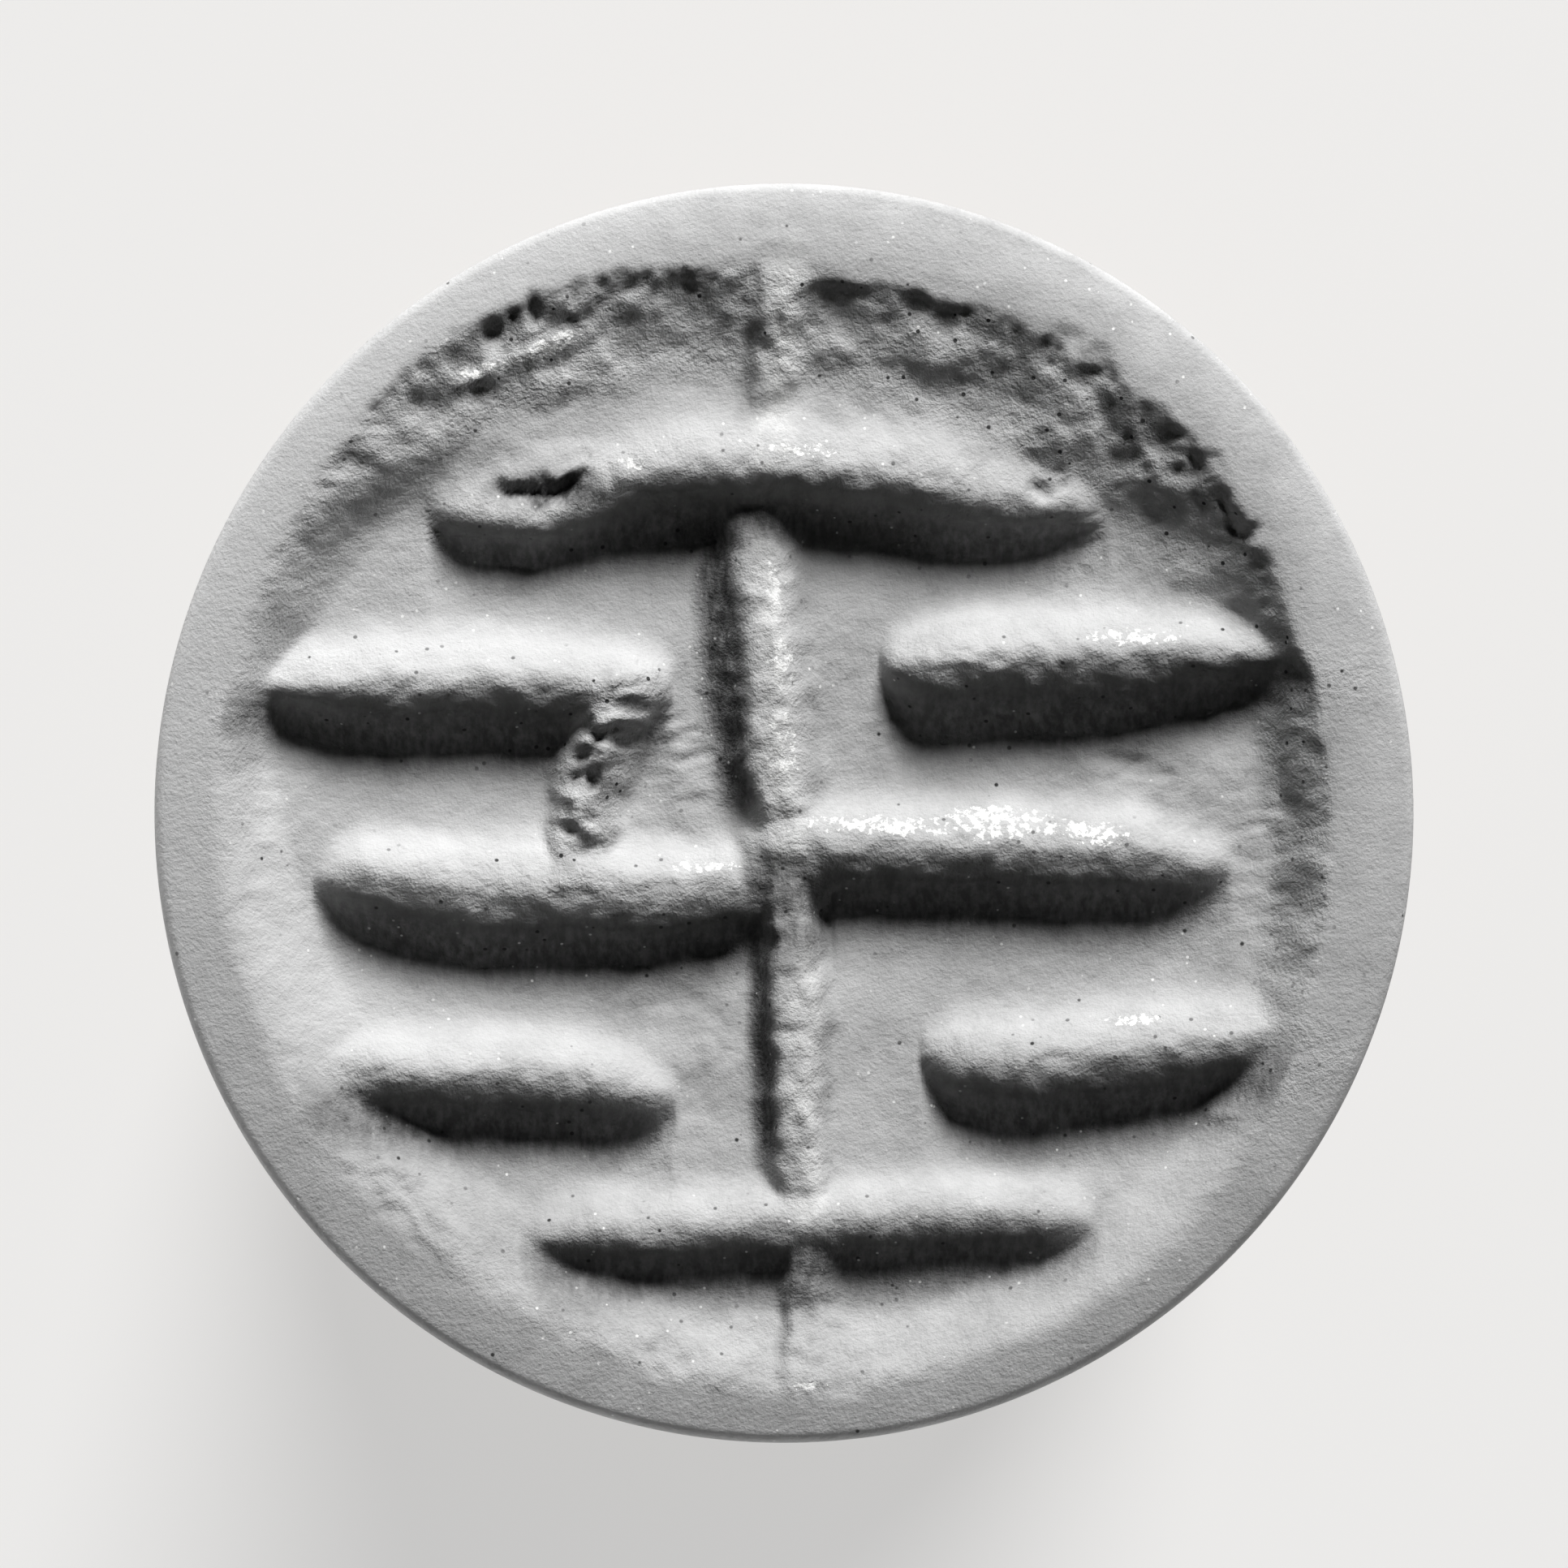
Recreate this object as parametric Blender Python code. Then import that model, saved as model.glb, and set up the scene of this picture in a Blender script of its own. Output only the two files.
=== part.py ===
"""Hand seal: a carved stone die on a turned handle, with a head that unscrews.

The seal stands on its butt plate with the carved face up. Its axis is Z, the origin
is the centre of the butt plate's underside, and +Y is the top of the carved device.
All sizes are in metres.
"""

import math
from collections import namedtuple

import bmesh
import bpy
from mathutils import Vector

# Gaps between neighbouring pieces
SEAT_GAP = 0.0003  # between two faces that seat on each other
FIT_GAP = 0.0002  # all round a plug, pin or sleeve in its hole
THREAD_GAP = 0.00015  # all round the screw's thread in the insert

# Carved stone die
DIE_DIAMETER = 0.0250
DIE_THICKNESS = 0.0070
DIE_FOOT_ROUND = 0.0006
RIM_WIDTH = 0.00135
RIM_ROLL_WIDTH = 0.0008
RIM_ROLL_DROP = 0.00025
FIELD_DEPTH = 0.00095
FIELD_WALL_RUN = 0.0008
FIELD_SHIFT_X = -0.00015
FIELD_SHIFT_Y = -0.00030
BAR_HEIGHT = 0.00085
STEM_HEIGHT = 0.00070
TAIL_HEIGHT = 0.00045
SPIGOT_DIAMETER = 0.0160
SPIGOT_LENGTH = 0.0024

# Cement bed under the die
BEDDING_THICKNESS = 0.0007

# Turned cup that carries the die
CUP_DIAMETER = 0.0232
CUP_LIP_HEIGHT = 0.0022
CUP_PLATE_THICKNESS = 0.0050
CUP_EDGE_ROUND = 0.0004
BOSS_DIAMETER = 0.0136
BOSS_HEIGHT = 0.0060
BOSS_COLLAR_HEIGHT = 0.0016

# Machine screw that joins head and handle
SCREW_DIAMETER = 0.00635
SCREW_PITCH = 0.00127
SCREW_THREAD_DEPTH = 0.00076
SCREW_LENGTH = 0.0165
SCREW_TIP_CHAMFER = 0.0007
SCREW_HEAD_DIAMETER = 0.0096
SCREW_HEAD_HEIGHT = 0.0028
SCREW_SLOT_WIDTH = 0.0012
SCREW_SLOT_DEPTH = 0.0012

# Washer between cup and ferrule
WASHER_DIAMETER = 0.0130
WASHER_THICKNESS = 0.0010

# Ferrule on the handle's tenon, and its two pins
FERRULE_WALL = 0.0011
FERRULE_TOP_WALL = 0.0015
FERRULE_BEAD_HEIGHT = 0.0022
FERRULE_BEAD_PROUD = 0.0006
FERRULE_EDGE_ROUND = 0.0005
PIN_DIAMETER = 0.0014
PIN_LENGTH = 0.0026
PIN_DROP = 0.0055  # from the ferrule's top to the pins

# Threaded insert in the handle
INSERT_DIAMETER = 0.0090
INSERT_LENGTH = 0.0095
INSERT_GROOVES = 2
INSERT_GROOVE_DEPTH = 0.0003

# Turned handle: radii, and heights above its base
HANDLE_LENGTH = 0.0560
FOOT_RADIUS = 0.0088
BEAD_RADIUS = 0.0096
BEAD_HEIGHT = 0.0028
COVE_RADIUS = 0.0076
COVE_HEIGHT = 0.0066
WAIST_RADIUS = 0.0062
WAIST_HEIGHT = 0.0190
BELLY_RADIUS = 0.0098
BELLY_HEIGHT = 0.0365
NECK_RADIUS = 0.0081
TENON_DIAMETER = 0.0132
TENON_LENGTH = 0.0100
TIP_ROOM = 0.0025  # free depth under the screw's tip

# Tack that marks the top of the device
INDEX_HEAD_DIAMETER = 0.0030
INDEX_HEAD_HEIGHT = 0.0008
INDEX_SHANK_DIAMETER = 0.0012
INDEX_SHANK_LENGTH = 0.0050

# Butt plate and its screw
BUTT_DIAMETER = 0.0188
BUTT_THICKNESS = 0.0024
BUTT_EDGE_ROUND = 0.0008
BUTT_SCREW_HEAD_DIAMETER = 0.0072
BUTT_SCREW_DIAMETER = 0.0036
BUTT_SCREW_LENGTH = 0.0150
BUTT_SCREW_TIP = 0.0040
BUTT_SCREW_SLOT_WIDTH = 0.0009
BUTT_SCREW_SLOT_DEPTH = 0.0009

# Facets
TURN_STEPS = 32
FACE_STEPS = 64
THREAD_STEPS = 16
INSERT_STEPS = 24
SMALL_STEPS = 16
HANDLE_RINGS = 25

# Levels along the axis, from the floor up
Z_HANDLE = BUTT_THICKNESS + SEAT_GAP
Z_TENON_TOP = Z_HANDLE + HANDLE_LENGTH
Z_TENON_BASE = Z_TENON_TOP - TENON_LENGTH
Z_FERRULE_TOP = Z_TENON_TOP + SEAT_GAP + FERRULE_TOP_WALL
Z_WASHER = Z_FERRULE_TOP + SEAT_GAP
Z_BOSS = Z_WASHER + WASHER_THICKNESS + SEAT_GAP
Z_PLATE = Z_BOSS + BOSS_HEIGHT
Z_CUP_TOP = Z_PLATE + CUP_PLATE_THICKNESS
Z_SHOULDER = Z_CUP_TOP + SEAT_GAP
Z_RIM = Z_SHOULDER + DIE_THICKNESS
Z_FIELD = Z_RIM - FIELD_DEPTH
Z_SPIGOT = Z_SHOULDER - SPIGOT_LENGTH
Z_BEDDING = Z_SPIGOT - SEAT_GAP - BEDDING_THICKNESS
Z_RECESS = Z_BEDDING - SEAT_GAP
Z_SCREW_HEAD = Z_RECESS - SCREW_HEAD_HEIGHT
Z_SCREW_TIP = Z_SCREW_HEAD - SCREW_LENGTH
Z_INSERT = Z_TENON_TOP - INSERT_LENGTH
Z_PINS = Z_FERRULE_TOP - PIN_DROP
Z_BELLY = Z_HANDLE + BELLY_HEIGHT

FIELD_RADIUS = DIE_DIAMETER / 2 - RIM_WIDTH
SCREW_HOLE_RADIUS = SCREW_DIAMETER / 2 + FIT_GAP
FERRULE_RADIUS = TENON_DIAMETER / 2 + FIT_GAP + FERRULE_WALL
HIDDEN = 0.002  # how far a cutter runs past the face it cuts

# A stroke of the device is a boat-shaped ridge. Its ends are in parts of the field's
# radius from the die's axis, and its bow, width and height are real sizes.
Stroke = namedtuple("Stroke", "start end bow width height")
DEVICE = {
    "top_bar": Stroke((-0.64, 0.50), (0.58, 0.51), 0.00075, 0.0027, BAR_HEIGHT),
    "upper_left_bar": Stroke((-1.02, 0.21), (-0.20, 0.19), 0.0001, 0.0028, BAR_HEIGHT),
    "upper_right_bar": Stroke((0.17, 0.24), (1.02, 0.28), -0.0002, 0.0030, BAR_HEIGHT),
    "middle_left_bar": Stroke((-0.83, -0.12), (0.04, -0.17), -0.00035, 0.0028, BAR_HEIGHT),
    "middle_right_bar": Stroke((-0.04, -0.09), (0.81, -0.10), -0.0001, 0.0026, BAR_HEIGHT),
    "lower_left_bar": Stroke((-0.92, -0.46), (-0.19, -0.50), -0.0001, 0.0025, BAR_HEIGHT),
    "lower_right_bar": Stroke((0.21, -0.44), (1.00, -0.38), -0.00045, 0.0027, BAR_HEIGHT),
    "bottom_bar": Stroke((-0.47, -0.73), (0.56, -0.71), -0.0004, 0.0023, BAR_HEIGHT),
    "stem_top": Stroke((0.00, 1.00), (-0.01, 0.58), 0.0, 0.0011, TAIL_HEIGHT),
    "stem_upper": Stroke((-0.03, 0.62), (-0.01, -0.12), 0.0, 0.0017, STEM_HEIGHT),
    "stem_lower": Stroke((0.00, -0.08), (0.03, -0.70), 0.0, 0.0015, STEM_HEIGHT),
    "stem_tail": Stroke((0.04, -0.73), (0.01, -1.02), 0.0, 0.0011, TAIL_HEIGHT),
    "left_link": Stroke((-0.22, 0.24), (-0.35, -0.08), 0.0, 0.0014, TAIL_HEIGHT),
}
STROKE_RINGS = 12
STROKE_SIDES = 12
STROKE_FULLNESS = 3.0  # 2 is an ellipse in plan, and more is blunter


def clear_scene():
    for obj in list(bpy.data.objects):
        bpy.data.objects.remove(obj)


def make_material(name, colour, roughness, metallic):
    material = bpy.data.materials.new(name)
    material.use_nodes = True
    shader = material.node_tree.nodes["Principled BSDF"]
    shader.inputs["Base Color"].default_value = (*colour, 1.0)
    shader.inputs["Roughness"].default_value = roughness
    shader.inputs["Metallic"].default_value = metallic
    return material


def add_object(name, bm, material=None, parent=None):
    """An object made from a finished bmesh, smooth except at its hard edges."""
    bmesh.ops.recalc_face_normals(bm, faces=bm.faces)
    mesh = bpy.data.meshes.new(name)
    bm.to_mesh(mesh)
    bm.free()
    mesh.shade_smooth()
    mesh.set_sharp_from_angle(angle=math.radians(35))
    obj = bpy.data.objects.new(name, mesh)
    bpy.context.scene.collection.objects.link(obj)
    if material:
        obj.data.materials.append(material)
    if parent:
        obj.parent = parent
        obj.matrix_parent_inverse = parent.matrix_world.inverted()
    return obj


def add_empty(name, height):
    """An empty on the seal's axis, which carries the pieces that move together."""
    empty = bpy.data.objects.new(name, None)
    empty.location = (0, 0, height)
    bpy.context.scene.collection.objects.link(empty)
    bpy.context.view_layer.update()
    return empty


def helper(obj):
    """Marks a cutter or a shape to join, which is not itself a piece."""
    obj.hide_render = True
    obj.display_type = "WIRE"
    return obj


def boolean(obj, operation, other):
    modifier = obj.modifiers.new(f"{operation} {other.name}", "BOOLEAN")
    modifier.operation = operation
    modifier.solver = "EXACT"
    if isinstance(other, bpy.types.Collection):
        modifier.operand_type = "COLLECTION"
        modifier.collection = other
    else:
        modifier.object = other


def arc(centre, radius, start, end, steps):
    """Points of a round stretch of a profile, with its angles in degrees."""
    angles = [math.radians(start + (end - start) * i / steps) for i in range(steps + 1)]
    return [(centre[0] + radius * math.cos(a), centre[1] + radius * math.sin(a)) for a in angles]


def turned_mesh(profile, steps, ring=False):
    """A profile of (radius, height) points turned about Z.

    A ring's profile closes on itself. Any other profile starts and ends on the axis.
    """
    bm = bmesh.new()
    points = [bm.verts.new((radius, 0, height)) for radius, height in profile]
    pairs = list(zip(points, points[1:]))
    if ring:
        pairs.append((points[-1], points[0]))
    edges = [bm.edges.new(pair) for pair in pairs]
    bmesh.ops.spin(
        bm,
        geom=points + edges,
        axis=(0, 0, 1),
        cent=(0, 0, 0),
        angle=2 * math.pi,
        steps=steps,
        use_merge=True,
        use_duplicate=False,
    )
    bmesh.ops.remove_doubles(bm, verts=bm.verts, dist=1e-7)
    bmesh.ops.dissolve_degenerate(bm, edges=bm.edges, dist=1e-7)
    return bm


def rod_mesh(radius, length, steps):
    """A plain round rod along +Z from the origin."""
    profile = [(0, 0), (radius, 0), (radius, length), (0, length)]
    return turned_mesh(profile, steps)


def bar_mesh(size_x, size_y, size_z, centre):
    """A plain bar, used to cut slots."""
    bm = bmesh.new()
    bmesh.ops.create_cube(bm, size=1.0)
    bmesh.ops.scale(bm, vec=(size_x, size_y, size_z), verts=bm.verts)
    bmesh.ops.translate(bm, vec=centre, verts=bm.verts)
    return bm


def threaded_mesh(crest, root, bottom, turns):
    """A right-hand threaded rod. Each row of its grid follows the helix."""
    shares = (0.0, 0.25, 0.5625, 0.6875)  # where the root and crest flats start and end
    radii = (root, root, crest, crest)
    rows = 4 * (turns + 1)
    bm = bmesh.new()
    grid = []
    for row in range(rows):
        lift = row // 4 + shares[row % 4]
        ring = []
        for column in range(THREAD_STEPS):
            part = column / THREAD_STEPS
            angle = 2 * math.pi * part
            radius = radii[row % 4]
            height = bottom + SCREW_PITCH * (lift + part)
            ring.append(bm.verts.new((radius * math.cos(angle), radius * math.sin(angle), height)))
        grid.append(ring)

    def at(row, column):
        """A full turn along a row arrives four rows higher."""
        return grid[row + 4 * (column // THREAD_STEPS)][column % THREAD_STEPS]

    for row in range(rows - 5):
        for column in range(THREAD_STEPS):
            corners = ((row, column), (row, column + 1), (row + 1, column + 1), (row + 1, column))
            bm.faces.new([at(*corner) for corner in corners])
    loose = [vert for vert in bm.verts if not vert.link_faces]
    bmesh.ops.delete(bm, geom=loose, context="VERTS")
    for end, step in ((0, -1), (rows - 5, 1)):
        edge = [at(end, column) for column in range(THREAD_STEPS + 1)]
        edge += [at(end + back, 0) for back in (3, 2, 1)]
        heights = [vert.co.z for vert in edge]
        tip_height = min(heights) - SCREW_PITCH / 2 if step < 0 else max(heights) + SCREW_PITCH / 2
        tip = bm.verts.new((0, 0, tip_height))
        for first, second in zip(edge, edge[1:] + edge[:1]):
            bm.faces.new((first, second, tip))
    return bm


def stroke_mesh(stroke):
    """A boat-shaped ridge that lies on the field, half of it sunk in the stone."""
    start = Vector(stroke.start) * FIELD_RADIUS
    end = Vector(stroke.end) * FIELD_RADIUS
    middle = (start + end) / 2
    along = (end - start) / 2
    across = along.normalized().orthogonal()
    bm = bmesh.new()
    bmesh.ops.create_uvsphere(bm, u_segments=STROKE_SIDES, v_segments=STROKE_RINGS, radius=1.0)
    for vert in bm.verts:
        run = max(-1.0, min(1.0, vert.co.z))  # from -1 at the start to 1 at the end
        narrow = math.sqrt(max(0.0, 1 - run * run))
        full = math.sqrt(max(0.0, 1 - abs(run) ** STROKE_FULLNESS))
        swell = full / narrow if narrow > 1e-6 else 0.0
        side = vert.co.x * swell * stroke.width / 2 + stroke.bow * (1 - run * run)
        place = middle + along * run + across * side
        vert.co = (place.x, place.y, Z_FIELD + vert.co.y * swell * stroke.height)
    return bm


def seal_die(stone, head):
    """The carved disc: a turned blank, less the field, with the strokes left standing."""
    radius = DIE_DIAMETER / 2
    roll_start = radius - RIM_ROLL_WIDTH
    foot = DIE_FOOT_ROUND
    blank = [(0, Z_SPIGOT), (SPIGOT_DIAMETER / 2, Z_SPIGOT), (SPIGOT_DIAMETER / 2, Z_SHOULDER)]
    blank += arc((radius - foot, Z_SHOULDER + foot), foot, -90, 0, 4)
    for share in (1.0, 0.75, 0.5, 0.25, 0.0):
        blank.append((roll_start + RIM_ROLL_WIDTH * share, Z_RIM - RIM_ROLL_DROP * share**2))
    blank.append((0, Z_RIM))
    die = add_object("seal_die", turned_mesh(blank, FACE_STEPS), stone, head)

    floor = FIELD_RADIUS - FIELD_WALL_RUN
    slope = FIELD_DEPTH / FIELD_WALL_RUN
    dish = [
        (0, Z_FIELD),
        (floor, Z_FIELD),
        (FIELD_RADIUS + HIDDEN / slope, Z_RIM + HIDDEN),
        (0, Z_RIM + HIDDEN),
    ]
    field = helper(add_object("field_cutter", turned_mesh(dish, FACE_STEPS)))
    field.location = (FIELD_SHIFT_X, FIELD_SHIFT_Y, 0)
    boolean(die, "DIFFERENCE", field)

    strokes = bpy.data.collections.new("device_strokes")
    bpy.context.scene.collection.children.link(strokes)
    for name, stroke in DEVICE.items():
        ridge = helper(add_object(f"stroke_{name}", stroke_mesh(stroke)))
        strokes.objects.link(ridge)
        bpy.context.scene.collection.objects.unlink(ridge)
    boolean(die, "UNION", strokes)


def die_bedding(cement, head):
    radius = SPIGOT_DIAMETER / 2
    bed = rod_mesh(radius, BEDDING_THICKNESS, TURN_STEPS)
    bmesh.ops.translate(bed, vec=(0, 0, Z_BEDDING), verts=bed.verts)
    add_object("die_bedding", bed, cement, head)


def die_cup(brass, head):
    """A flared cup: a recess for the die above, and a boss for the screw below."""
    lip = CUP_DIAMETER / 2
    boss = BOSS_DIAMETER / 2
    recess = SPIGOT_DIAMETER / 2 + FIT_GAP
    counterbore = SCREW_HEAD_DIAMETER / 2 + FIT_GAP
    z_counterbore = Z_SCREW_HEAD - SEAT_GAP
    z_lip = Z_CUP_TOP - CUP_LIP_HEIGHT
    z_collar = Z_BOSS + BOSS_COLLAR_HEIGHT
    round_ = CUP_EDGE_ROUND
    flare = []
    for step in range(8):
        angle = math.radians(90 * step / 7)
        out = boss + (lip - boss) * (1 - math.cos(angle))
        flare.append((out, z_collar + (z_lip - z_collar) * math.sin(angle)))
    profile = [(SCREW_HOLE_RADIUS, Z_BOSS)]
    profile += arc((boss - round_, Z_BOSS + round_), round_, -90, 0, 2)
    profile += flare
    profile += arc((lip - round_, Z_CUP_TOP - round_), round_, 0, 90, 2)
    profile += [
        (recess, Z_CUP_TOP),
        (recess, Z_RECESS),
        (counterbore, Z_RECESS),
        (counterbore, z_counterbore),
        (SCREW_HOLE_RADIUS, z_counterbore),
    ]
    add_object("die_cup", turned_mesh(profile, TURN_STEPS, ring=True), brass, head)


def head_screw(steel, head):
    """A slotted cheese-head screw, threaded up to its head."""
    radius = SCREW_DIAMETER / 2
    shank = [
        (0, Z_SCREW_TIP),
        (radius - SCREW_TIP_CHAMFER, Z_SCREW_TIP),
        (radius + HIDDEN, Z_SCREW_TIP + SCREW_TIP_CHAMFER + HIDDEN),
        (radius + HIDDEN, Z_RECESS),
        (0, Z_RECESS),
    ]
    screw = add_object("head_screw", turned_mesh(shank, INSERT_STEPS), steel, head)
    turns = math.ceil(SCREW_LENGTH / SCREW_PITCH) + 1
    bottom = Z_SCREW_HEAD - turns * SCREW_PITCH
    thread = threaded_mesh(radius, radius - SCREW_THREAD_DEPTH, bottom, turns)
    boolean(screw, "INTERSECT", helper(add_object("screw_thread", thread)))

    cap = rod_mesh(SCREW_HEAD_DIAMETER / 2, SCREW_HEAD_HEIGHT, INSERT_STEPS)
    bmesh.ops.translate(cap, vec=(0, 0, Z_SCREW_HEAD), verts=cap.verts)
    boolean(screw, "UNION", helper(add_object("screw_cap", cap)))
    slot = bar_mesh(
        SCREW_HEAD_DIAMETER + HIDDEN,
        SCREW_SLOT_WIDTH,
        SCREW_SLOT_DEPTH + HIDDEN,
        (0, 0, Z_RECESS - SCREW_SLOT_DEPTH / 2 + HIDDEN / 2),
    )
    boolean(screw, "DIFFERENCE", helper(add_object("screw_slot", slot)))


def friction_washer(leather):
    carrier = add_empty("washer_axis", Z_WASHER)
    outer = WASHER_DIAMETER / 2
    top = Z_WASHER + WASHER_THICKNESS
    profile = [
        (SCREW_HOLE_RADIUS, Z_WASHER),
        (outer, Z_WASHER),
        (outer, top),
        (SCREW_HOLE_RADIUS, top),
    ]
    add_object("friction_washer", turned_mesh(profile, TURN_STEPS, ring=True), leather, carrier)


def pin_hole_cutter(name, side):
    """A radial hole for a ferrule pin, as deep as the pin and open outwards."""
    inner = FERRULE_RADIUS - PIN_LENGTH - SEAT_GAP
    hole = rod_mesh(PIN_DIAMETER / 2 + FIT_GAP, PIN_LENGTH + SEAT_GAP + HIDDEN, SMALL_STEPS)
    cutter = helper(add_object(name, hole))
    cutter.location = (side * inner, 0, Z_PINS)
    cutter.rotation_euler = (0, side * math.pi / 2, 0)
    return cutter


def ferrule(brass):
    """A sleeve over the tenon, closed at the top but for the screw's hole."""
    bore = TENON_DIAMETER / 2 + FIT_GAP
    outer = FERRULE_RADIUS
    bead = outer + FERRULE_BEAD_PROUD
    bottom = Z_TENON_BASE + SEAT_GAP
    round_ = FERRULE_EDGE_ROUND
    half = FERRULE_BEAD_HEIGHT / 2
    profile = [(bore, bottom), (outer, bottom)]
    for step in range(1, 6):
        angle = math.pi * step / 6
        out = outer + (bead - outer) * math.sin(angle)
        profile.append((out, bottom + half * (1 - math.cos(angle))))
    profile.append((outer, bottom + FERRULE_BEAD_HEIGHT))
    profile += arc((outer - round_, Z_FERRULE_TOP - round_), round_, 0, 90, 3)
    profile += [
        (SCREW_HOLE_RADIUS, Z_FERRULE_TOP),
        (SCREW_HOLE_RADIUS, Z_FERRULE_TOP - FERRULE_TOP_WALL),
        (bore, Z_FERRULE_TOP - FERRULE_TOP_WALL),
    ]
    sleeve = add_object("ferrule", turned_mesh(profile, TURN_STEPS, ring=True), brass)
    for label, side in (("left", -1), ("right", 1)):
        boolean(sleeve, "DIFFERENCE", pin_hole_cutter(f"ferrule_hole_{label}", side))


def ferrule_pins(brass):
    for label, side in (("left", -1), ("right", 1)):
        pin = add_object(f"ferrule_pin_{label}", rod_mesh(PIN_DIAMETER / 2, PIN_LENGTH, SMALL_STEPS), brass)
        pin.location = (side * (FERRULE_RADIUS - PIN_LENGTH), 0, Z_PINS)
        pin.rotation_euler = (0, side * math.pi / 2, 0)


def thread_insert(brass):
    """A grooved nut, glued into the handle's bore."""
    outer = INSERT_DIAMETER / 2
    bore = SCREW_DIAMETER / 2 - 2 * SCREW_THREAD_DEPTH  # before it is tapped
    groove = INSERT_LENGTH / (2 * INSERT_GROOVES + 1)
    profile = [(bore, Z_INSERT), (outer, Z_INSERT)]
    for index in range(INSERT_GROOVES):
        low = Z_INSERT + groove * (2 * index + 1)
        deep = outer - INSERT_GROOVE_DEPTH
        profile += [(outer, low), (deep, low), (deep, low + groove), (outer, low + groove)]
    profile += [(outer, Z_TENON_TOP), (bore, Z_TENON_TOP)]
    nut = add_object("thread_insert", turned_mesh(profile, INSERT_STEPS, ring=True), brass)

    turns_below = math.ceil((Z_SCREW_HEAD - Z_INSERT) / SCREW_PITCH) + 2
    turns_above = math.floor((Z_SCREW_HEAD - Z_TENON_TOP) / SCREW_PITCH) - 2
    crest = SCREW_DIAMETER / 2 + THREAD_GAP
    tap = threaded_mesh(
        crest,
        crest - SCREW_THREAD_DEPTH,
        Z_SCREW_HEAD - turns_below * SCREW_PITCH,
        turns_below - turns_above,
    )
    boolean(nut, "DIFFERENCE", helper(add_object("insert_tap", tap)))


def handle_outline():
    """The handle's outer side from foot to neck: a smooth curve through its stations."""
    stations = [
        (0.0, FOOT_RADIUS),
        (BEAD_HEIGHT, BEAD_RADIUS),
        (COVE_HEIGHT, COVE_RADIUS),
        (WAIST_HEIGHT, WAIST_RADIUS),
        (BELLY_HEIGHT, BELLY_RADIUS),
        (HANDLE_LENGTH - TENON_LENGTH, NECK_RADIUS),
    ]
    slopes = [0.0] * len(stations)
    slopes[0] = 2 * (BEAD_RADIUS - FOOT_RADIUS) / BEAD_HEIGHT
    slopes[2] = (WAIST_RADIUS - COVE_RADIUS) / (WAIST_HEIGHT - COVE_HEIGHT)
    last, before = stations[-1], stations[-2]
    slopes[-1] = 2 * (last[1] - before[1]) / (last[0] - before[0])
    outline = []
    per_span = HANDLE_RINGS // (len(stations) - 1)
    for index, (low, high) in enumerate(zip(stations, stations[1:])):
        span = high[0] - low[0]
        for step in range(per_span):
            t = step / per_span
            radius = (
                low[1] * (2 * t**3 - 3 * t**2 + 1)
                + slopes[index] * span * (t**3 - 2 * t**2 + t)
                + high[1] * (3 * t**2 - 2 * t**3)
                + slopes[index + 1] * span * (t**3 - t**2)
            )
            outline.append((radius, Z_HANDLE + low[0] + span * t))
    outline.append((last[1], Z_HANDLE + last[0]))
    return outline


def handle(wood):
    """The turned body, with a tenon and stepped bore above and a pilot hole below."""
    tenon = TENON_DIAMETER / 2
    bore = INSERT_DIAMETER / 2 + FIT_GAP
    z_bore = Z_INSERT - SEAT_GAP
    z_tip = Z_SCREW_TIP - TIP_ROOM
    pilot = BUTT_SCREW_DIAMETER / 2 + FIT_GAP
    z_pilot = BUTT_SCREW_LENGTH + SEAT_GAP
    z_pilot_end = z_pilot + BUTT_SCREW_TIP
    profile = [(0, z_pilot_end), (pilot, z_pilot), (pilot, Z_HANDLE)]
    profile += handle_outline()
    profile += [
        (tenon, Z_TENON_BASE),
        (tenon, Z_TENON_TOP),
        (bore, Z_TENON_TOP),
        (bore, z_bore),
        (SCREW_HOLE_RADIUS, z_bore),
        (SCREW_HOLE_RADIUS, z_tip),
        (0, z_tip),
    ]
    body = add_object("handle", turned_mesh(profile, TURN_STEPS), wood)
    for label, side in (("left", -1), ("right", 1)):
        boolean(body, "DIFFERENCE", pin_hole_cutter(f"tenon_hole_{label}", side))

    hole = rod_mesh(
        INDEX_SHANK_DIAMETER / 2 + FIT_GAP,
        INDEX_SHANK_LENGTH + SEAT_GAP + HIDDEN,
        SMALL_STEPS,
    )
    cutter = helper(add_object("index_hole", hole))
    cutter.location = (0, BELLY_RADIUS - INDEX_SHANK_LENGTH - SEAT_GAP, Z_BELLY)
    cutter.rotation_euler = (-math.pi / 2, 0, 0)
    boolean(body, "DIFFERENCE", cutter)


def index_stud(brass):
    """A dome-headed tack at the belly, on the side of the device's top."""
    dome = INDEX_HEAD_DIAMETER / 2
    shank = INDEX_SHANK_DIAMETER / 2
    profile = [(0, -INDEX_SHANK_LENGTH), (shank, -INDEX_SHANK_LENGTH + shank), (shank, 0)]
    for step in range(6):
        angle = math.radians(90 * step / 5)
        profile.append((dome * math.cos(angle), INDEX_HEAD_HEIGHT * math.sin(angle)))
    profile[-1] = (0, INDEX_HEAD_HEIGHT)
    tack = add_object("index_stud", turned_mesh(profile, SMALL_STEPS), brass)
    tack.location = (0, BELLY_RADIUS + FIT_GAP, Z_BELLY)
    tack.rotation_euler = (-math.pi / 2, 0, 0)


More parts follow.
